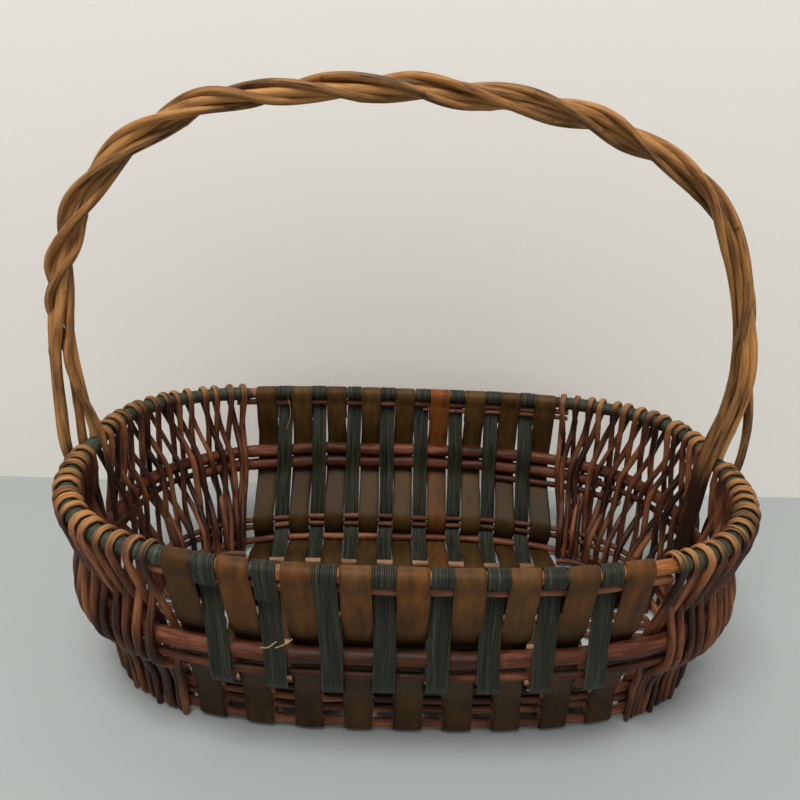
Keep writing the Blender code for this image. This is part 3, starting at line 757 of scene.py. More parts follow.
STRANDS = 10
WINDING = 0.0138  # metres of rim that one turn of the binding's ten strands covers
WINDING_SIDES = 20
WINDING_STATIONS = 4  # on each strand
WINDING_COURSE = 1200  # points
WINDING_LEAN_TURN = 0.6  # from the top, where the strands lean most
WINDING_FADE = 0.008  # from each end of the binding, over which the lean comes in
STRAND_SUNK = 0.0005
STRAND_RIDGE = 0.0005
STRAND_ROUNDNESS = 0.7
STRAND_UNEVENNESS = 0.00012
GROOVE_DEPTH = 0.00035  # between one turn and the next
GROOVE_EDGES = (0.86, 1)
GROOVE_SHADE = 0.2
GROOVE_SHADE_EDGES = (0.8, 1)
PRESSED_EDGES = (LAST_SPLINT + SPLINT_WIDTH / 2 + 0.001, LAST_SPLINT + SPLINT_WIDTH / 2 + 0.006)
PRESSED_RIDGE_SHARE = 0.4  # of the strands' ridges, lost where they are pressed
WINDING_TONE = 0.5
WINDING_TONE_SPREAD = 0.16
WINDING_SPACE = (0.07, 0.004)  # from one strand's place in the material to the next
# painted shade in the valley where one strand meets the next, carried in the scar channel
WINDING_GAP_SHADE = 0.8
WINDING_WEAR = 0.3
WINDING_END_SHARES = (0.7, 0)


def add_hoop(rng):
    """The willow hoop, which shows where the binding leaves it bare."""
    path = ring_path(HOOP, BARE_END_ANGLE, BARE_END_ANGLE + TURN)
    add_rod_piece("rim_hoop", "hoop_willow", path, HOOP_RADIUS, rng, sides=20, tone=0.6, is_closed=True)


def add_binding(rng):
    """One skin whose ridges are the strands wound round the hoop."""
    angles = np.linspace(BARE_END_ANGLE, BARE_START_ANGLE + TURN, WINDING_COURSE)
    course = np.array([on_ring(HOOP, angle) for angle in angles])
    length = walked_along(course)[-1]
    strand = WINDING / STRANDS
    path = resampled(course, length / (round(length / strand) * WINDING_STATIONS))
    walked = walked_along(path)
    along, side, across = frames(path)
    around = np.linspace(0, TURN, WINDING_SIDES + 1)
    # The strands lean as a winding does, most on top and outside the rim
    up = np.arctan2(across[:, 2], side[:, 2])
    lean = WINDING / TURN * np.sin(around - up[:, None] + WINDING_LEAN_TURN)
    number, station = np.divmod(np.arange(len(path)), WINDING_STATIONS)
    phase = station / WINDING_STATIONS
    height = STRAND_RIDGE * np.sin(math.pi * (phase + 0.5 / WINDING_STATIONS)) ** STRAND_ROUNDNESS
    seed = rng.uniform(-1, 1, number[-1] + 2)[number]
    turns = walked / WINDING + waves(rng, *WINDING_SLIPS)(walked)
    edge = np.abs((turns % 1) - 0.5) * 2
    height = height + STRAND_UNEVENNESS * seed - GROOVE_DEPTH * ramped(edge, *GROOVE_EDGES)
    height = height + waves(rng, *WINDING_SWELLS)(walked)
    pressed = 1 - ramped(np.abs(path[:, 0]), *PRESSED_EDGES)
    reach = BINDING_RADIUS - (BINDING_RADIUS - PRESSED_BINDING_RADIUS) * pressed - STRAND_SUNK
    reach = reach + height * (1 - PRESSED_RIDGE_SHARE * pressed)
    ring = rings(side, across, around)
    fade = ramped(np.minimum(walked, walked[-1] - walked), 0, WINDING_FADE)
    points = path[:, None, :] + ring * reach[:, None, None]
    points += along[:, None, :] * (lean * fade[:, None])[:, :, None]
    turn_space, strand_space = WINDING_SPACE
    space = layered(
        reach[:, None] * around + turn_space * number[:, None],
        (phase * strand + strand_space * number)[:, None],
        0,
    )
    tone = WINDING_TONE + WINDING_TONE_SPREAD * seed - GROOVE_SHADE * ramped(edge, *GROOVE_SHADE_EDGES)
    # The scar channel here holds painted shade at each strand's edge
    look = layered(tone[:, None], np.zeros(lean.shape), (WINDING_GAP_SHADE * (phase == 0))[:, None], WINDING_WEAR)
    ends = []
    for place in (0, -1):
        rows = [path[place] + ring[place] * share * reach[place] for share in WINDING_END_SHARES]
        ends.append((np.array(rows), repeated(space[place], len(rows)), repeated(look[place], len(rows))))
    piece = bmesh.new()
    add_ended_skin(piece, (points, space, look), ends)
    finish_piece(piece, "rim_binding", "binding_cane")


def add_rim():
    rng = np.random.default_rng(RIM_SEED)
    add_hoop(rng)
    add_binding(rng)


def add_ring_rod(node, slot, ring, start, end, radius, seed, tones=None, sway=RING_ROD_SWAY):
    rng = np.random.default_rng(seed)
    path = ring_path(ring, start, end)
    tone = np.interp(path[:, 0], *zip(*tones)) if tones else 0.5
    walked = walked_along(path)
    drift = sum(waves(rng, *sway)(walked)[:, None] * way for way in frames(path)[1:])
    add_rod_piece(node, slot, path + drift, radius, rng, tone=tone)


def add_lengthwise_rods():
    """The rods along the walls, each as its ring, two angles, radius, seed and tones."""
    reach = SPLINTS_END + TOP_OVERHANG
    first, last = angle_at_x(HOOP, reach), angle_at_x(HOOP, -reach)
    second_end = angle_at_x(HOOP, TOP_SECOND_START)
    thin_end = angle_at_x(THIN_RING, THIN_START)
    front = (MID_LEFT_ANGLE + JOINT_HALF_ANGLE, MID_RIGHT_ANGLE - JOINT_HALF_ANGLE + TURN)
    back = (MID_RIGHT_ANGLE + JOINT_HALF_ANGLE, MID_LEFT_ANGLE - JOINT_HALF_ANGLE)
    for kind, place, *shape in (
        ("top_rod", "back", TOP_RING, first, last, TOP_RADIUS, 21),
        ("top_rod", "front", TOP_RING, TURN - last, TURN - first, TOP_RADIUS, 22, FRONT_TOP_TONES),
        ("top_rod", "back_second", TOP_SECOND_RING, first, second_end, TOP_SECOND_RADIUS, 23),
        ("mid_rod", "front_upper", MID_UPPER, *front, MID_UPPER_RADIUS, 31, FRONT_MID_TONES_AND_PAINTED_LIGHT),
        ("mid_rod", "back_upper", MID_UPPER, *back, MID_BACK_RADIUS, 36),
        ("mid_rod", "front_lower", MID_LOWER, *front, MID_LOWER_RADIUS, 32, FRONT_MID_TONES_AND_PAINTED_LIGHT),
        ("mid_rod", "back_lower", MID_LOWER, *back, MID_BACK_RADIUS, 37),
        ("mid_rod", "back_thin", THIN_RING, THIN_END_ANGLE, thin_end, THIN_RADIUS, 41),
    ):
        add_ring_rod(f"{kind}_{place}", f"{kind}_willow", *shape)
    for node, slot, ring, angle, radius, seed in (
        ("low_rod_upper", "low_rod_willow", LOW_UPPER, LOW_UPPER_ANGLE, LOW_RADIUS, 51),
        ("low_rod_lower", "low_rod_willow", LOW_LOWER, LOW_LOWER_ANGLE, LOW_RADIUS, 52),
        ("foot_rod", "foot_rod_willow", FOOT, FOOT_ANGLE, FOOT_RADIUS, 53),
    ):
        start, end = angle + JOINT_HALF_ANGLE, angle - JOINT_HALF_ANGLE + TURN
        add_ring_rod(node, slot, ring, start, end, radius, seed, sway=LOW_ROD_SWAY)


# Floor


def floor_rod_places():
    return [(count - (FLOOR_COUNT - 1) / 2) * FLOOR_PITCH for count in range(FLOOR_COUNT)]


def add_floor_rods():
    half = SPLINTS_END + FLOOR_OVERHANG
    for number, y in enumerate(floor_rod_places(), 1):
        rng = np.random.default_rng(FLOOR_SEED + number)
        path = resampled(np.array([[-half, y, FLOOR_HEIGHT], [half, y, FLOOR_HEIGHT]]), ROD_STATION)
        path[:, 1] += waves(rng, *FLOOR_ROD_SWAY)(path[:, 0])
        add_rod_piece(f"floor_rod_{number}", "floor_rod_willow", path, FLOOR_RADIUS, rng)


def add_floor_ends():
    """One rod at each end of the floor, laid to and fro inside the stakes."""
    start = SPLINTS_END + FLOOR_END_START
    inset = FOOT_RADIUS + BEND_GAP + 2 * STAKE_RADIUS + 2 * GAP + FLOOR_END_RADIUS
    half_rows = int(FOOT_HALF_WIDTH / FLOOR_END_PITCH)
    rows = []
    for count in range(-half_rows, half_rows):
        y = (count + 0.5) * FLOOR_END_PITCH
        point, outward = oval(FOOT, math.asin(abs(y / FOOT_HALF_WIDTH) ** (PLAN_POWER / 2)))
        end = point[0] - inset / outward[0]
        if end - start > FLOOR_END_LEAST_RUN:
            rows.append((y, end))
    for name, side in (("left", -1), ("right", 1)):
        rng = np.random.default_rng(FLOOR_END_SEED + side)
        points = []
        for count, (y, end) in enumerate(rows):
            run = [[side * start, y, FLOOR_HEIGHT], [side * end, y, FLOOR_HEIGHT]]
            points += run if count % 2 == 0 else run[::-1]
        path = resampled(eased(points)[0], ROD_STATION)
        node = f"floor_end_rod_{name}"
        add_rod_piece(node, "floor_end_willow", path, FLOOR_END_RADIUS, rng, sides=STAKE_SIDES)


# Splints and ribbons

SPLINT_SQUARENESS = 8  # how late in its width a splint thins towards its edge
SPLINT_EDGE_SHARE = 0.12
SPLINT_EDGE_OUT = 0.0002
SPLINT_EDGE_REACH = 1.02
SPLINT_TONE = 0.38
SPLINT_TONE_SPREAD = 0.1
SPLINT_TOP_LIGHT = (0.12, 0.1, 0.15)  # a painted light: how much lighter at the top, and from which height to which
SPLINT_BACK_TONE = 0.12
SPLINT_BACK_START = 0.05
# painted shade along a splint's edges, where the ribbons meet it
SPLINT_EDGE_SHADE = 0.16
SPLINT_SHADE = (0.3, 0.092, 0.011)  # how much darker just over the front mid rod, its height and its spread
SHADED_WARMTH_SHARE = 0.8
WARMTH_BY_HEIGHT = (0.4, 0.06, 0.12, 0.35)  # a share, the height where it holds, the way up to 1 more, least
CUT_END_BARENESS = 0.6
STRAND_PITCH = 0.00134
STRAND_RADIUS = 0.00081
TAIL_STRAY = (-0.0003, 0.0006)
STRAND_TONE = 0.46
STRAND_TONE_SPREAD = 0.09
STRAND_BACK_TONE = (0.16, 0.02, 0.12)  # how much lighter towards the back wall, and from where to where
STRAND_FOOT_SHADE = (0.4, 0.05, 0.03)  # a painted shade: how much darker at the front's foot, and from which height to which
FRONT_WALL_START = -0.1
LOOSE_RADIUS = 0.00034
# Loose pale strands, by the number of the ribbon that they hang on
LOOSE_STRANDS = (
    (2, ((-0.0895, -0.1598, 0.0993), (-0.085, -0.1617, 0.1010), (-0.0802, -0.1598, 0.1036))),
    (2, ((-0.0812, -0.1598, 0.0992), (-0.0765, -0.1617, 0.1025), (-0.0708, -0.1595, 0.1050))),
    (1, (
        (-0.1145, 0.1475, 0.1475), (-0.1095, 0.1445, 0.138), (-0.1085, 0.144, 0.124),
        (-0.1125, 0.1445, 0.111), (-0.1165, 0.146, 0.099),
    )),
)


def between(lower, upper, share):
    return tuple(low + (high - low) * share for low, high in zip(lower, upper))


def wall_path(thickness, tail, side, top_side, is_back):
    """Places of a splint or ribbon on one long wall, foot to rim, as (ring, out, up)."""
    half = thickness / 2 + BEND_GAP
    low, mid, top = LOW_RADIUS + half, MID_BACK_RADIUS + half, TOP_RADIUS + half
    low_side, mid_side = (-side, side) if is_back else (side, -side)
    if side > 0:
        path = [(FOOT, out, up) for out, up in octagon(FOOT_RADIUS + half, (-3, -1))]
        path += [(FOOT, FOOT_RADIUS + half, FOOT_RADIUS / 2)]
    else:
        path = [(FOOT, -FOOT_RADIUS - half, FOOT_RADIUS)]
    path += [
        (LOW_LOWER, low_side * low, -LOW_RADIUS),
        (LOW_UPPER, low_side * low, LOW_RADIUS / 2),
        (MID_LOWER, mid_side * mid, -MID_BACK_RADIUS),
        (MID_UPPER, mid_side * mid, MID_BACK_RADIUS),
    ]
    if is_back:
        path += [(HOOP, top_side * (TOP_SECOND_RADIUS + half), -TOP_SECOND_DROP)]
    elif side > 0:
        path += [(between(MID_UPPER, HOOP, share), out, 0) for share, out in SPLINT_BELLY]
    path += [(HOOP, top_side * top, -TOP_DROP)]
    reach = PRESSED_BINDING_RADIUS + WRAP_GAP + thickness / 2
    over = (-1, 1, 3, 5, 7) if top_side > 0 else (9, 7, 5, 3, 1)
    path += [(HOOP, out, up) for out, up in octagon(reach, over)]
    if tail < reach:
        corner_out, corner_up = octagon(reach, (-1,))[0]
        return path + [(HOOP, -top_side * corner_out, corner_up), (HOOP, -top_side * WRAP_END_OUT, -tail)]
    return path + [(HOOP, -top_side * reach, -tail)]


def floor_path(thickness, side):
    """Places of a splint or ribbon on the floor, front to back, as (y, z)."""
    path = []
    for count, y in enumerate(floor_rod_places()):
        if side * (-1) ** count < 0:
            path += [(y - FLAT_HALF_RUN, thickness / 2), (y + FLAT_HALF_RUN, thickness / 2)]
        else:
            path += [(y, FLOOR_HEIGHT + FLOOR_RADIUS + GAP + thickness / 2)]
    return path


def wall_point(place, x, side):
    ring, out, up = place
    point, outward = oval(ring, angle_at_x(ring, x))
    return [x, side * (point[1] + out / outward[1]), point[2] + up]


def band_line(number, offset, thickness, tails, side, front_top_side):
    """A line this far across a splint or ribbon, from the front rim, under the floor, to the back."""
    x_floor = number * SPLINT_PITCH - LAST_SPLINT
    splints = range(SPLINT_COUNT)
    points = []
    for y_side, shares, tail, top_side in (
        (-1, FRONT_SHIFT_SHARES, tails[0], front_top_side), (1, BACK_SHIFT_SHARES, tails[1], -side),
    ):
        x_rim = x_floor + SPLINT_PITCH * np.interp(number, splints, shares)
        bow = np.interp(number, splints, FRONT_BOWS) if y_side < 0 else 0
        wall = []
        for place in wall_path(thickness, tail, side, top_side, y_side > 0):
            height = (place[0][2] + place[2] - FOOT_HEIGHT) / (RIM_HEIGHT - FOOT_HEIGHT)
            x = x_floor + (x_rim - x_floor) * min(max(height, 0), 1) + offset
            wall.append(wall_point(place, x + bow * np.interp(height, *BOW_BY_HEIGHT), y_side))
        if y_side < 0:
            points += wall[::-1] + [[x_floor + offset, y, z] for y, z in floor_path(thickness, side)]
        else:
            points += wall
    return np.array(points)


def splint_lines(number, shares):
    """Lines along a splint, by station and share of its half width, and how far along each station is."""
    lines = []
    for share in shares:
        line = band_line(number, share * SPLINT_WIDTH / 2, SPLINT_THICKNESS, (SPLINT_TAIL, SPLINT_TAIL), 1, 1)
        lines.append(eased(line, SPLINT_EASE, SPLINT_CORNER_STEPS)[0])
    # More stations on the straight runs, the same ones for every line
    walked = walked_along(lines[len(lines) // 2])
    even = np.linspace(0, walked[-1], int(walked[-1] / ROD_STATION))
    even = np.unique(np.concatenate([even, walked]))
    even = even[np.concatenate([[True], np.diff(even) > LEAST_STATION])]
    return np.stack([path_at(even, walked, line) for line in lines], axis=1), even


def splint_look(rng, number, loop, even, places):
    """A splint's tone and wear: lighter at the top as painted light and lighter at the back, darker at its
    edges and over the mid rod as painted shade.
    """
    y, height = loop[:, :, 1], loop[:, :, 2]
    top, top_start, top_end = SPLINT_TOP_LIGHT
    shade, shade_height, shade_spread = SPLINT_SHADE
    # Painted light makes the top lighter
    tone = SPLINT_TONE + SPLINT_TONE_SPREAD * rng.uniform(-1, 1) + top * ramped(height, top_start, top_end)
    tone = tone + np.where(y > SPLINT_BACK_START, SPLINT_BACK_TONE, 0)
    shaded = np.where(y < 0, hill(height - shade_height, shade_spread), 0)
    # Painted shade over the front mid rod and along the edges
    tone = tone - shade * shaded - SPLINT_EDGE_SHADE * np.minimum(np.abs(places), 1) ** 4
    tone = tone + waves(rng, *SPLINT_TONES)(even)[:, None]
    warmth = np.where(y < 0, SPLINT_WARMTH_FRONT[number], SPLINT_WARMTH_BACK[number])
    start, start_height, rise, least = WARMTH_BY_HEIGHT
    warmth = warmth * np.clip(start + (height - start_height) / rise, least, 1)
    return layered(tone, 0, 0, warmth * (1 - SHADED_WARMTH_SHARE * shaded))


def add_splints():
    """Flat split wood, a little cupped and uneven, outside the foot rod, with long tails."""
    shares = np.linspace(-1, 1, SPLINT_LINES)
    places = np.concatenate([shares, [SPLINT_EDGE_REACH], shares[::-1], [-SPLINT_EDGE_REACH], shares[:1]])
    faces = np.concatenate([np.ones(SPLINT_LINES), [0], -np.ones(SPLINT_LINES), [0], [1]])
    roundness = np.maximum(1 - np.abs(shares) ** SPLINT_SQUARENESS, SPLINT_EDGE_SHARE)
    half = SPLINT_THICKNESS / 2 * np.sqrt(roundness)[:, None]
    for number in range(SPLINT_COUNT):
        rng = np.random.default_rng(SPLINT_SEED + number)
        lines, even = splint_lines(number, shares)
        across = unit(np.gradient(lines, axis=1))
        normal = unit(np.cross(np.gradient(lines, axis=0), across))
        left, right = (waves(rng, *SPLINT_EDGES)(even)[:, None] for _ in range(2))
        lines = lines + across * (np.where(shares < 0, left, right) * np.abs(shares))[:, :, None]
        cup = waves(rng, *SPLINT_CUPS)(even)[:, None] * shares**2
        ripple = waves(rng, *SPLINT_RIPPLES)(even)[:, None]
        lines = lines + normal * (cup + ripple)[:, :, None]
        over, under = lines + normal * half, lines - normal * half
        first, last = lines[:, :1], lines[:, -1:]
        edges = last + across[:, -1:] * SPLINT_EDGE_OUT, first - across[:, :1] * SPLINT_EDGE_OUT
        loop = np.concatenate([over, edges[0], under[:, ::-1], edges[1], over[:, :1]], axis=1)
        middle = np.concatenate([lines, last, lines[:, ::-1], first, first], axis=1)
        start, side = rng.uniform(*GRAIN_STARTS), rng.uniform(*GRAIN_SIDES)
        space = layered(start + even[:, None], side + places * SPLINT_WIDTH / 2, faces * SPLINT_THICKNESS)
        look = splint_look(rng, number, loop, even, places)
        facts = repeated(look[0], 2)
        facts[:, :, 1] = CUT_END_BARENESS
        ends = [
            (np.array([0.5 * (loop[place] + middle[place]), middle[place]]), repeated(space[place], 2), facts)
            for place in (0, -1)
        ]
        piece = bmesh.new()
        add_ended_skin(piece, (loop, space, look), ends)
        finish_piece(piece, f"splint_{number + 1}", "splint_wood")


def add_ribbons():
    """Cane ribbons of ten fine strands each, which pass each rod on its other side."""
    back_tone, *back = STRAND_BACK_TONE
    foot_shade, *foot = STRAND_FOOT_SHADE
    plain = {"sides": STRAND_SIDES, "knots": 0}
    for number in range(1, SPLINT_COUNT):
        rng = np.random.default_rng(RIBBON_SEED + number)
        top_side = 1 if number == RIBBON_OVER_THE_FRONT else -1
        piece = bmesh.new()
        drift, swing = waves(rng, *RIBBON_SWAY), waves(rng, *RIBBON_SWING)
        for strand in range(STRANDS):
            offset = (strand - (STRANDS - 1) / 2) * STRAND_PITCH
            tails = (FRONT_RIBBON_TAILS[number - 1], RIBBON_TAIL)
            tails = [tail + rng.uniform(*TAIL_STRAY) for tail in tails]
            line = band_line(number - 0.5, offset, RIBBON_THICKNESS, tails, -1, top_side)
            path = resampled(eased(line, RIBBON_EASE)[0], RIBBON_STATION)
            walked = walked_along(path)
            lift = np.cross(unit(np.gradient(path, axis=0)), (1, 0, 0))
            path[:, 0] += drift(walked) + waves(rng, *STRAND_SWAY)(walked)
            path += lift * (swing(walked) + waves(rng, *STRAND_SWING)(walked))[:, None]
            y, height = path[:, 1], path[:, 2]
            tone = STRAND_TONE + STRAND_TONE_SPREAD * rng.uniform(-1, 1) + back_tone * faded(y, *back)
            # Painted shade at the foot of the front wall
            tone = tone - foot_shade * faded(height, *foot) * (y < FRONT_WALL_START)
            add_rod(piece, path, STRAND_RADIUS, rng, tone=tone, wear=0.2, slant=0.1, **plain)
        for place, keys in LOOSE_STRANDS:
            if place == number:
                path = resampled(splined(keys), LOOSE_RADIUS)
                add_rod(piece, path, LOOSE_RADIUS, rng, tone=0.9, bare_ends=(1, 1), **plain)
        finish_piece(piece, f"ribbon_{number}", "ribbon_cane")


# Stakes

PRESSED_SHARE = 0.42
PRESS_GAP = 0.0002
PRESS_REACH = 0.0135  # from the hoop's centre, within which a rod is pressed
PRESS_FULL = 0.0097  # and within which it is pressed in full
STRAY_SHARE = 0.4  # of half the way from one loop to the next
LEAN_STRAY = 0.25
LEG_SMOOTHING = 15  # stations over which the legs' way along the wall is evened out
LEG_TOP = (0.136, 0.116)  # heights between which that comes in below the rim
LEG_FOOT = (0.008, 0.028)  # and above the foot
SWAY_TOP = (0.14, 0.12, 0.25)  # the same for the sway, with the least share that stays
SWAY_FOOT = (0, 0.02, 0.3)
LEG_WIDTH = 1.08
END_LOOP_WIDTH = 0.14  # how much wider still the loops are round the middle of each end
END_LOOP_PLACES = (0.19, 0.23)
STAKE_TONE = 0.45
# The loop tops: a painted highlight in the tone, and a golden worn colour that is partly wear and partly
# painted highlight
STAKE_TOP_HIGHLIGHT = 0.08
STAKE_TOP_WEAR_AND_HIGHLIGHT = 0.9
STAKE_TOP_POWER = 1.5
HOOP_POINTS = 400


def loop_places(walks, count, rng, kept_off, mid_below):
    """One loop as (point, radius share, ease): from inside the foot, outside the mid rods, over the rim and
    inside the mid rods to the outside of the foot."""
    rim = octagon(BINDING_RADIUS + PRESS_GAP + STAKE_RADIUS * (1 - PRESSED_SHARE), (9, 7, 5, 3, 1, -1))
    mid = MID_BACK_RADIUS + BEND_GAP + STAKE_RADIUS
    low = LOW_RADIUS + BEND_GAP + STAKE_RADIUS
    foot = FOOT_RADIUS + GAP + STAKE_TIP_RADIUS
    tip_share = STAKE_TIP_RADIUS / STAKE_RADIUS
    first = FIRST_LOOP / walks[HOOP][0][-1]
    half_loop = (1 - first) / (LOOPS_IN_QUARTER - 1) / 2
    way = count / (LOOPS_IN_QUARTER - 1)
    stray = STRAY_SHARE * half_loop * math.sin(math.pi * way)
    share = first + (1 - first) * way + stray * rng.uniform(-1, 1) - kept_off * way**4
    lean = np.interp(way, np.linspace(0, 1, len(CROSSING_LEANS)), CROSSING_LEANS) / walks[BELLY][0][-1]
    rising = share - half_loop + stray * rng.uniform(-1, 1)
    slants = LEAN_INTO_WAIST, LEAN_BELOW_MID
    slants = slants * (1 + LEAN_STRAY * rng.uniform(-1, 1, 2))

    def place(ring, start, leans, out=0.0, up=0.0, ease=EASE, radius_share=1.0):
        walked, angles = walks[ring]
        angle = np.interp((start + lean * leans) * walked[-1], walked, angles)
        return on_ring(ring, angle, out, up), radius_share, ease

    return [
        place(FOOT, rising, LEAN_AT_FOOT, -foot - INNER_STEP, -foot, radius_share=tip_share),
        place(LOW_UPPER, rising, LEAN_AT_LOW, -low, LOW_RADIUS),
        place(WAIST, rising, slants[0], ease=LONG_EASE),
        place(MID_LOWER, rising, LEAN_OUTSIDE_MID, mid_below, -STAKE_RADIUS, MID_EASE),
        place(MID_UPPER, rising, LEAN_OUTSIDE_MID, mid, STAKE_RADIUS, MID_EASE),
        place(BELLY, rising, LEAN_AT_BELLY, ease=LONG_EASE),
        *(place(HOOP, share, 0, out, up, RIM_EASE) for out, up in rim),
        place(BELLY, share, LEAN_AT_BELLY, ease=LONG_EASE),
        place(MID_UPPER, share, LEAN_AT_MID, -mid, STAKE_RADIUS, MID_EASE),
        place(MID_LOWER, share, LEAN_AT_MID, -mid, -STAKE_RADIUS, MID_EASE),
        place(WAIST, share, slants[1], ease=LONG_EASE),
        place(LOW_UPPER, share, LEAN_AT_LOW, low, LOW_RADIUS),
        place(FOOT, share, LEAN_AT_FOOT, foot, -foot, radius_share=tip_share),
    ]


def wandered(path, rng):
    """The stake's path with its legs evened out along the wall, and a sway, less at the rim and the foot."""
    walked, height = walked_along(path), path[:, 2]
    half = LEG_SMOOTHING // 2
    padded = np.pad(path, ((half, half), (0, 0)), mode="edge")
    kernel = np.ones(LEG_SMOOTHING) / LEG_SMOOTHING
    evened = np.column_stack([np.convolve(column, kernel, "valid") for column in padded.T])
    out = unit(path * np.array([1 / RIM_HALF_LENGTH**2, 1 / RIM_HALF_WIDTH**2, 0]))
    sideways = np.cross((0, 0, 1), out)
    free = np.maximum(ramped(height, *SWAY_TOP[:2]), SWAY_TOP[2])
    free = free * np.maximum(ramped(height, *SWAY_FOOT[:2]), SWAY_FOOT[2])
    open_leg = faded(height, *LEG_TOP) * faded(height, *LEG_FOOT)
    slide = ((evened - path) * sideways).sum(axis=1) * open_leg + waves(rng, *LEG_SWAY)(walked) * free
    return path + sideways * slide[:, None] + out * (waves(rng, *LEG_SWING)(walked) * free)[:, None]


def add_stakes():
    """Willow stakes, looped over the rim and under the foot rod, each leg a little different."""
    walks = {ring: quarter_walk(ring) for ring in (HOOP, BELLY, MID_UPPER, MID_LOWER, WAIST, LOW_UPPER, FOOT)}
    hoop = np.array([on_ring(HOOP, angle) for angle in np.linspace(0, math.pi / 2, HOOP_POINTS)])
    quarters = [(end, face) for end in ("left", "right") for face in ("front", "back")]
    stakes = [(end, face, number) for end, face in quarters for number in range(STAKES_IN_QUARTER)]
    for seed, (end, face, number) in enumerate(stakes, STAKE_SEED):
        rng = np.random.default_rng(seed)
        kept_off, mid_below = 0, MID_BACK_RADIUS + BEND_GAP + STAKE_RADIUS
        if face == "front":
            kept_off, mid_below = FRONT_KEPT_OFF[end] / walks[HOOP][0][-1], FRONT_MID_BELOW
        start, stop = (n * LOOPS_IN_QUARTER // STAKES_IN_QUARTER for n in (number, number + 1))
        loops = [loop_places(walks, count, rng, kept_off, mid_below) for count in range(start, stop)]
        points, shares, eases = zip(*(place for loop in loops for place in loop))
        fine, corners = eased(points, eases)
        path, share = resampled(fine, STAKE_STATION, np.array(shares)[corners])
        walked = walked_along(path)
        from_hoop = path[:, None, :] - hoop
        nearest = from_hoop[np.arange(len(path)), np.argmin((from_hoop**2).sum(axis=2), axis=1)]
        away = np.linalg.norm(nearest, axis=1)
        pressed = ramped(away, PRESS_REACH, PRESS_FULL)
        quarter = np.array([-1 if end == "left" else 1, -1 if face == "front" else 1, 1])
        press = unit(nearest) * quarter * PRESSED_SHARE * pressed[:, None]
        path = wandered(path * quarter, rng)
        # The tops of the loops are lighter, a painted highlight, and golden, partly wear and partly painted
        # highlight, and the ones round the end are wider
        top = np.clip(nearest[:, 2] / away, 0, 1) ** STAKE_TOP_POWER * pressed
        tone = STAKE_TONE + waves(rng, *STAKE_TONES)(walked) + STAKE_TOP_HIGHLIGHT * top
        width = LEG_WIDTH + END_LOOP_WIDTH * faded(np.abs(path[:, 0]), *END_LOOP_PLACES) * (pressed > 0)
        radius = STAKE_RADIUS * share * width * (1 + waves(rng, *STAKE_SWELLS)(walked))
        add_rod_piece(
            f"stake_{end}_{face}_{number + 1}", "stake_willow", path, radius, rng,
            sides=STAKE_SIDES, tone=tone, wear=STAKE_TOP_WEAR_AND_HIGHLIGHT * top, press=press,
        )


# Handle

STRIPPED_TIP = 0.018
HANDLE_WEAR = 0.5
HANDLE_SHADE_BELOW_RIM = (0.36, 0.012, -0.018)  # a painted shade: how much darker below the rim, and from which height to which
HANDLE_RIGHT_SHADE = (0.2, 0.2, 0.08)  # the same towards the right foot


def handle_foot(side, route, lane, stand):
    """Places of one handle rod at the end of the basket, rim to tip, as (point, radius share)."""
    rim_z = RIM_HEIGHT + RIM_END_LIFT
    rod = HANDLE_ROD_RADIUS * (1 if route in ("outside", "inside") else THIN_SHARE)
    clear = BINDING_RADIUS + BEND_GAP + rod
    mid = MID_BACK_RADIUS + BEND_GAP + rod
    y = lane * LANE_PITCH - (RIGHT_LANE_SHIFT if side > 0 else 0)
    if route == "outside":
        off_rim = RIM_HALF_LENGTH + clear + OUTSIDE_STAND * stand
        places = [
            (off_rim, y, rim_z + OUTSIDE_TURN_HEIGHT, 1),
            (off_rim, y, rim_z + BINDING_RADIUS, 1),
            (MID_HALF_LENGTH + mid, y, MID_UPPER_HEIGHT, 1),
            (MID_HALF_LENGTH + mid, y, OUTSIDE_FOOT_HEIGHT, 1),
        ]
    elif route == "inside":
        places = [
            (RIM_HALF_LENGTH - clear, y, rim_z + BINDING_RADIUS, 1),
            (MID_HALF_LENGTH - mid, y, MID_UPPER_HEIGHT, 1),
            (MID_HALF_LENGTH - mid, y, INSIDE_FOOT_HEIGHT, 1),
        ]
    elif route == "rim":
        places = [(RIM_HALF_LENGTH, lane * THIN_LANE_PITCH, rim_z + BINDING_RADIUS + GAP, THIN_SHARE)]
    else:
        places = [
            (RIM_HALF_LENGTH - clear - THIN_STEP, lane * THIN_LANE_PITCH, rim_z + BINDING_RADIUS, THIN_SHARE),
            (MID_HALF_LENGTH - mid, lane * THIN_TIP_LANE_PITCH, THIN_FOOT_HEIGHT, THIN_SHARE),
        ]
    return [((side * x, y, z), share) for x, y, z, share in places]


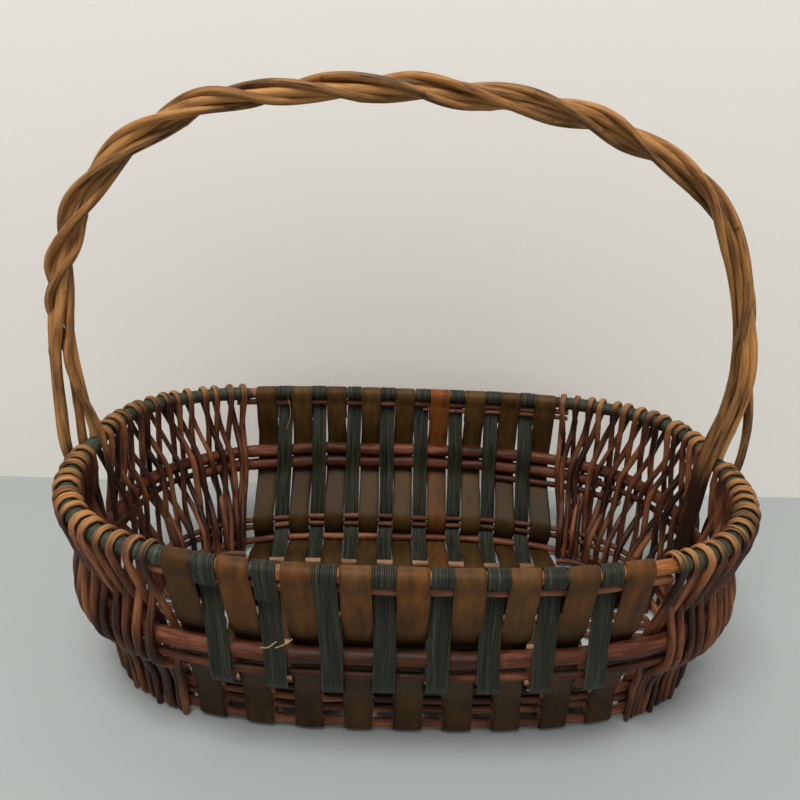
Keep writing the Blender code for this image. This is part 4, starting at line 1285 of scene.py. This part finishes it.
def twisted_rod(number, rng, arch, even):
    """Places of one rod along the arch, as (point, radius share). Three rods wind round the other two."""
    shares = np.linspace(0, 1, HANDLE_STATIONS)
    opened = faded(np.minimum(shares, 1 - shares), 0, OPENED_SHARE)
    loosen = waves(rng, *HANDLE_SWAY)(even)
    turn = TURN * number / HANDLE_RODS + (ROD_SPREAD[number] + waves(rng, *HANDLE_SLIPS)(even)) * opened
    if number in WOUND_RODS:
        notch_turns = FIRST_NOTCH_TURN + TURN / 3 * np.arange(len(NOTCH_SHARES))
        wound = np.interp(shares, (0, *NOTCH_SHARES, 1), (0, *notch_turns, WOUND_TURN))
        padded = np.pad(wound, NOTCH_EVENED // 2, mode="edge")
        wound = np.convolve(padded, np.ones(NOTCH_EVENED) / NOTCH_EVENED, "valid")
        wound[0], wound[-1] = 0, WOUND_TURN
        turn = turn - wound
        narrow, wide = WOUND_TWIST_RADII
        core_turn = ROD_SPREAD[0] * opened - CORE_TURN * shares
        twist = narrow + (wide - narrow) * np.cos(turn - core_turn) ** 2
        radius = WOUND_RADIUS
    else:
        turn = turn - CORE_TURN * shares
        twist = CORE_TWIST_RADIUS
        radius = CORE_RADIUS
    reach = HANDLE_TWIST_RADIUS + (twist - HANDLE_TWIST_RADIUS) * opened + loosen
    along = unit(np.gradient(arch, axis=0))
    outward = layered(-along[:, 2], 0, along[:, 0])
    offset = outward * np.cos(turn)[:, None] + layered(0, np.sin(turn), 0)
    sizes = 1 + (radius / HANDLE_ROD_RADIUS - 1) * opened
    return list(zip(arch + offset * reach[:, None], sizes))


def add_handle():
    """Five rods twisted together over the basket, whose ends part to pass the rim at each foot."""
    base = RIM_HEIGHT + RIM_END_LIFT
    curve = splined([(x * ARCH_HALF_SPAN, 0, base + z * ARCH_RISE) for x, z in ARCH_SHARES], ARCH_STEPS)
    walked = walked_along(curve)
    even = np.linspace(0, walked[-1], HANDLE_STATIONS)
    arch = path_at(even, walked, curve)
    rim_shade_tone, *rim_shade_heights = HANDLE_SHADE_BELOW_RIM
    right_tone, *right_heights = HANDLE_RIGHT_SHADE
    for number, (left, right) in enumerate(zip(LEFT_FEET, RIGHT_FEET)):
        rng = np.random.default_rng(HANDLE_SEED + number)
        twisted = twisted_rod(number, rng, arch, even)
        points, sizes = zip(*handle_foot(-1, *left)[::-1], *twisted, *handle_foot(1, *right))
        fine = splined(np.array(points))
        carried = np.interp(np.arange(len(fine)) / SPLINE_STEPS, np.arange(len(points)), sizes)
        path, share = resampled(fine, HANDLE_STATION, carried)
        walked = walked_along(path)
        over_rim = path[:, 2] - base
        below_rim = faded(over_rim, *rim_shade_heights)
        # Painted shade darkens the rods below the rim
        tone = HANDLE_TONES[number] + waves(rng, *HANDLE_WAVES)(walked) - rim_shade_tone * below_rim
        if right[0] != "rim":
            tone = tone - right_tone * faded(over_rim, *right_heights) * (path[:, 0] > 0)
        bare_ends = [STRIPPED_TIP if route == "rim" else 0 for route in (left[0], right[0])]
        radius = HANDLE_ROD_RADIUS * share * (1 + waves(rng, *HANDLE_SWELLS)(walked))
        add_rod_piece(
            f"handle_rod_{number + 1}", "handle_willow", path, radius, rng,
            tone=tone, wear=HANDLE_WEAR * (1 - below_rim), knots=0.06, bare_ends=bare_ends,
        )


# Stage, light and camera

STAGE_HALF_SIZE = 6
WALL_DISTANCE = 0.242
FLOOR_COLOUR = (168, 174, 173)
WALL_COLOUR = (240, 236, 230)
# Each light's name, place, size, energy and colour
LIGHTS = (
    ("key_light", (-0.35, -0.95, 2.3), 1.1, 48, (1.0, 0.98, 0.95)),
    ("fill_light", (1.5, -1.4, 1.3), 1.2, 6, (0.97, 0.98, 1.0)),
)
LIGHTS_AIM = (0, 0, 0.12)
CAMERA_HEADING = -0.0292
CAMERA_DROP = 0.3613
CAMERA_ROLL = 0.0408


def add_stage():
    """A pale floor with a plain wall behind it, which let the view through from their backs."""
    for name, colour, y, turn in (
        ("stage_floor", FLOOR_COLOUR, 0, 0), ("stage_wall", WALL_COLOUR, WALL_DISTANCE, math.pi / 2),
    ):
        mesh = bpy.data.meshes.new(name)
        grid = bmesh.new()
        place = Matrix.Translation((0, y, 0)) @ Matrix.Rotation(turn, 4, "X")
        bmesh.ops.create_grid(grid, x_segments=1, y_segments=1, size=STAGE_HALF_SIZE, matrix=place)
        grid.to_mesh(mesh)
        grid.free()
        look = Look(name)
        look.set(look.shader.inputs["Base Color"], srgb(*colour))
        look.set(look.shader.inputs["Roughness"], 0.9)
        clear = look.add("ShaderNodeBsdfTransparent", {}).outputs[0]
        behind = look.add("ShaderNodeNewGeometry", {}).outputs["Backfacing"]
        mixed = look.add("ShaderNodeMixShader", {0: behind, 1: look.shader.outputs[0], 2: clear})
        look.set(look.tree.nodes["Material Output"].inputs["Surface"], mixed.outputs[0])
        mesh.materials.append(look.material)
        obj = bpy.data.objects.new(name, mesh)
        bpy.context.scene.collection.objects.link(obj)


def add_light():
    scene = bpy.context.scene
    scene.world = bpy.data.worlds.new("soft_room")
    scene.world.use_nodes = True
    room = scene.world.node_tree.nodes["Background"]
    room.inputs["Color"].default_value = (1.0, 0.99, 0.97, 1)
    room.inputs["Strength"].default_value = 0.34
    for name, place, size, energy, colour in LIGHTS:
        data = bpy.data.lights.new(name, "AREA")
        data.size = size
        data.energy = energy
        data.color = colour
        light = bpy.data.objects.new(name, data)
        light.location = place
        light.rotation_euler = (Vector(LIGHTS_AIM) - Vector(place)).to_track_quat("-Z", "Y").to_euler()
        scene.collection.objects.link(light)


def add_camera():
    data = bpy.data.cameras.new("camera")
    data.lens = 33.45
    data.sensor_width = 36
    camera = bpy.data.objects.new("camera", data)
    camera.location = (-0.0221, -0.5199, 0.3946)
    turn = Matrix.Rotation(CAMERA_HEADING, 3, "Z") @ Matrix.Rotation(math.pi / 2 - CAMERA_DROP, 3, "X")
    camera.rotation_euler = (turn @ Matrix.Rotation(CAMERA_ROLL, 3, "Z")).to_euler()
    bpy.context.scene.collection.objects.link(camera)
    bpy.context.scene.camera = camera


def main():
    bpy.context.scene.view_settings.view_transform = "Standard"
    make_materials()
    add_rim()
    add_lengthwise_rods()
    add_floor_rods()
    add_floor_ends()
    add_splints()
    add_ribbons()
    add_stakes()
    add_handle()
    add_stage()
    add_light()
    add_camera()


main()
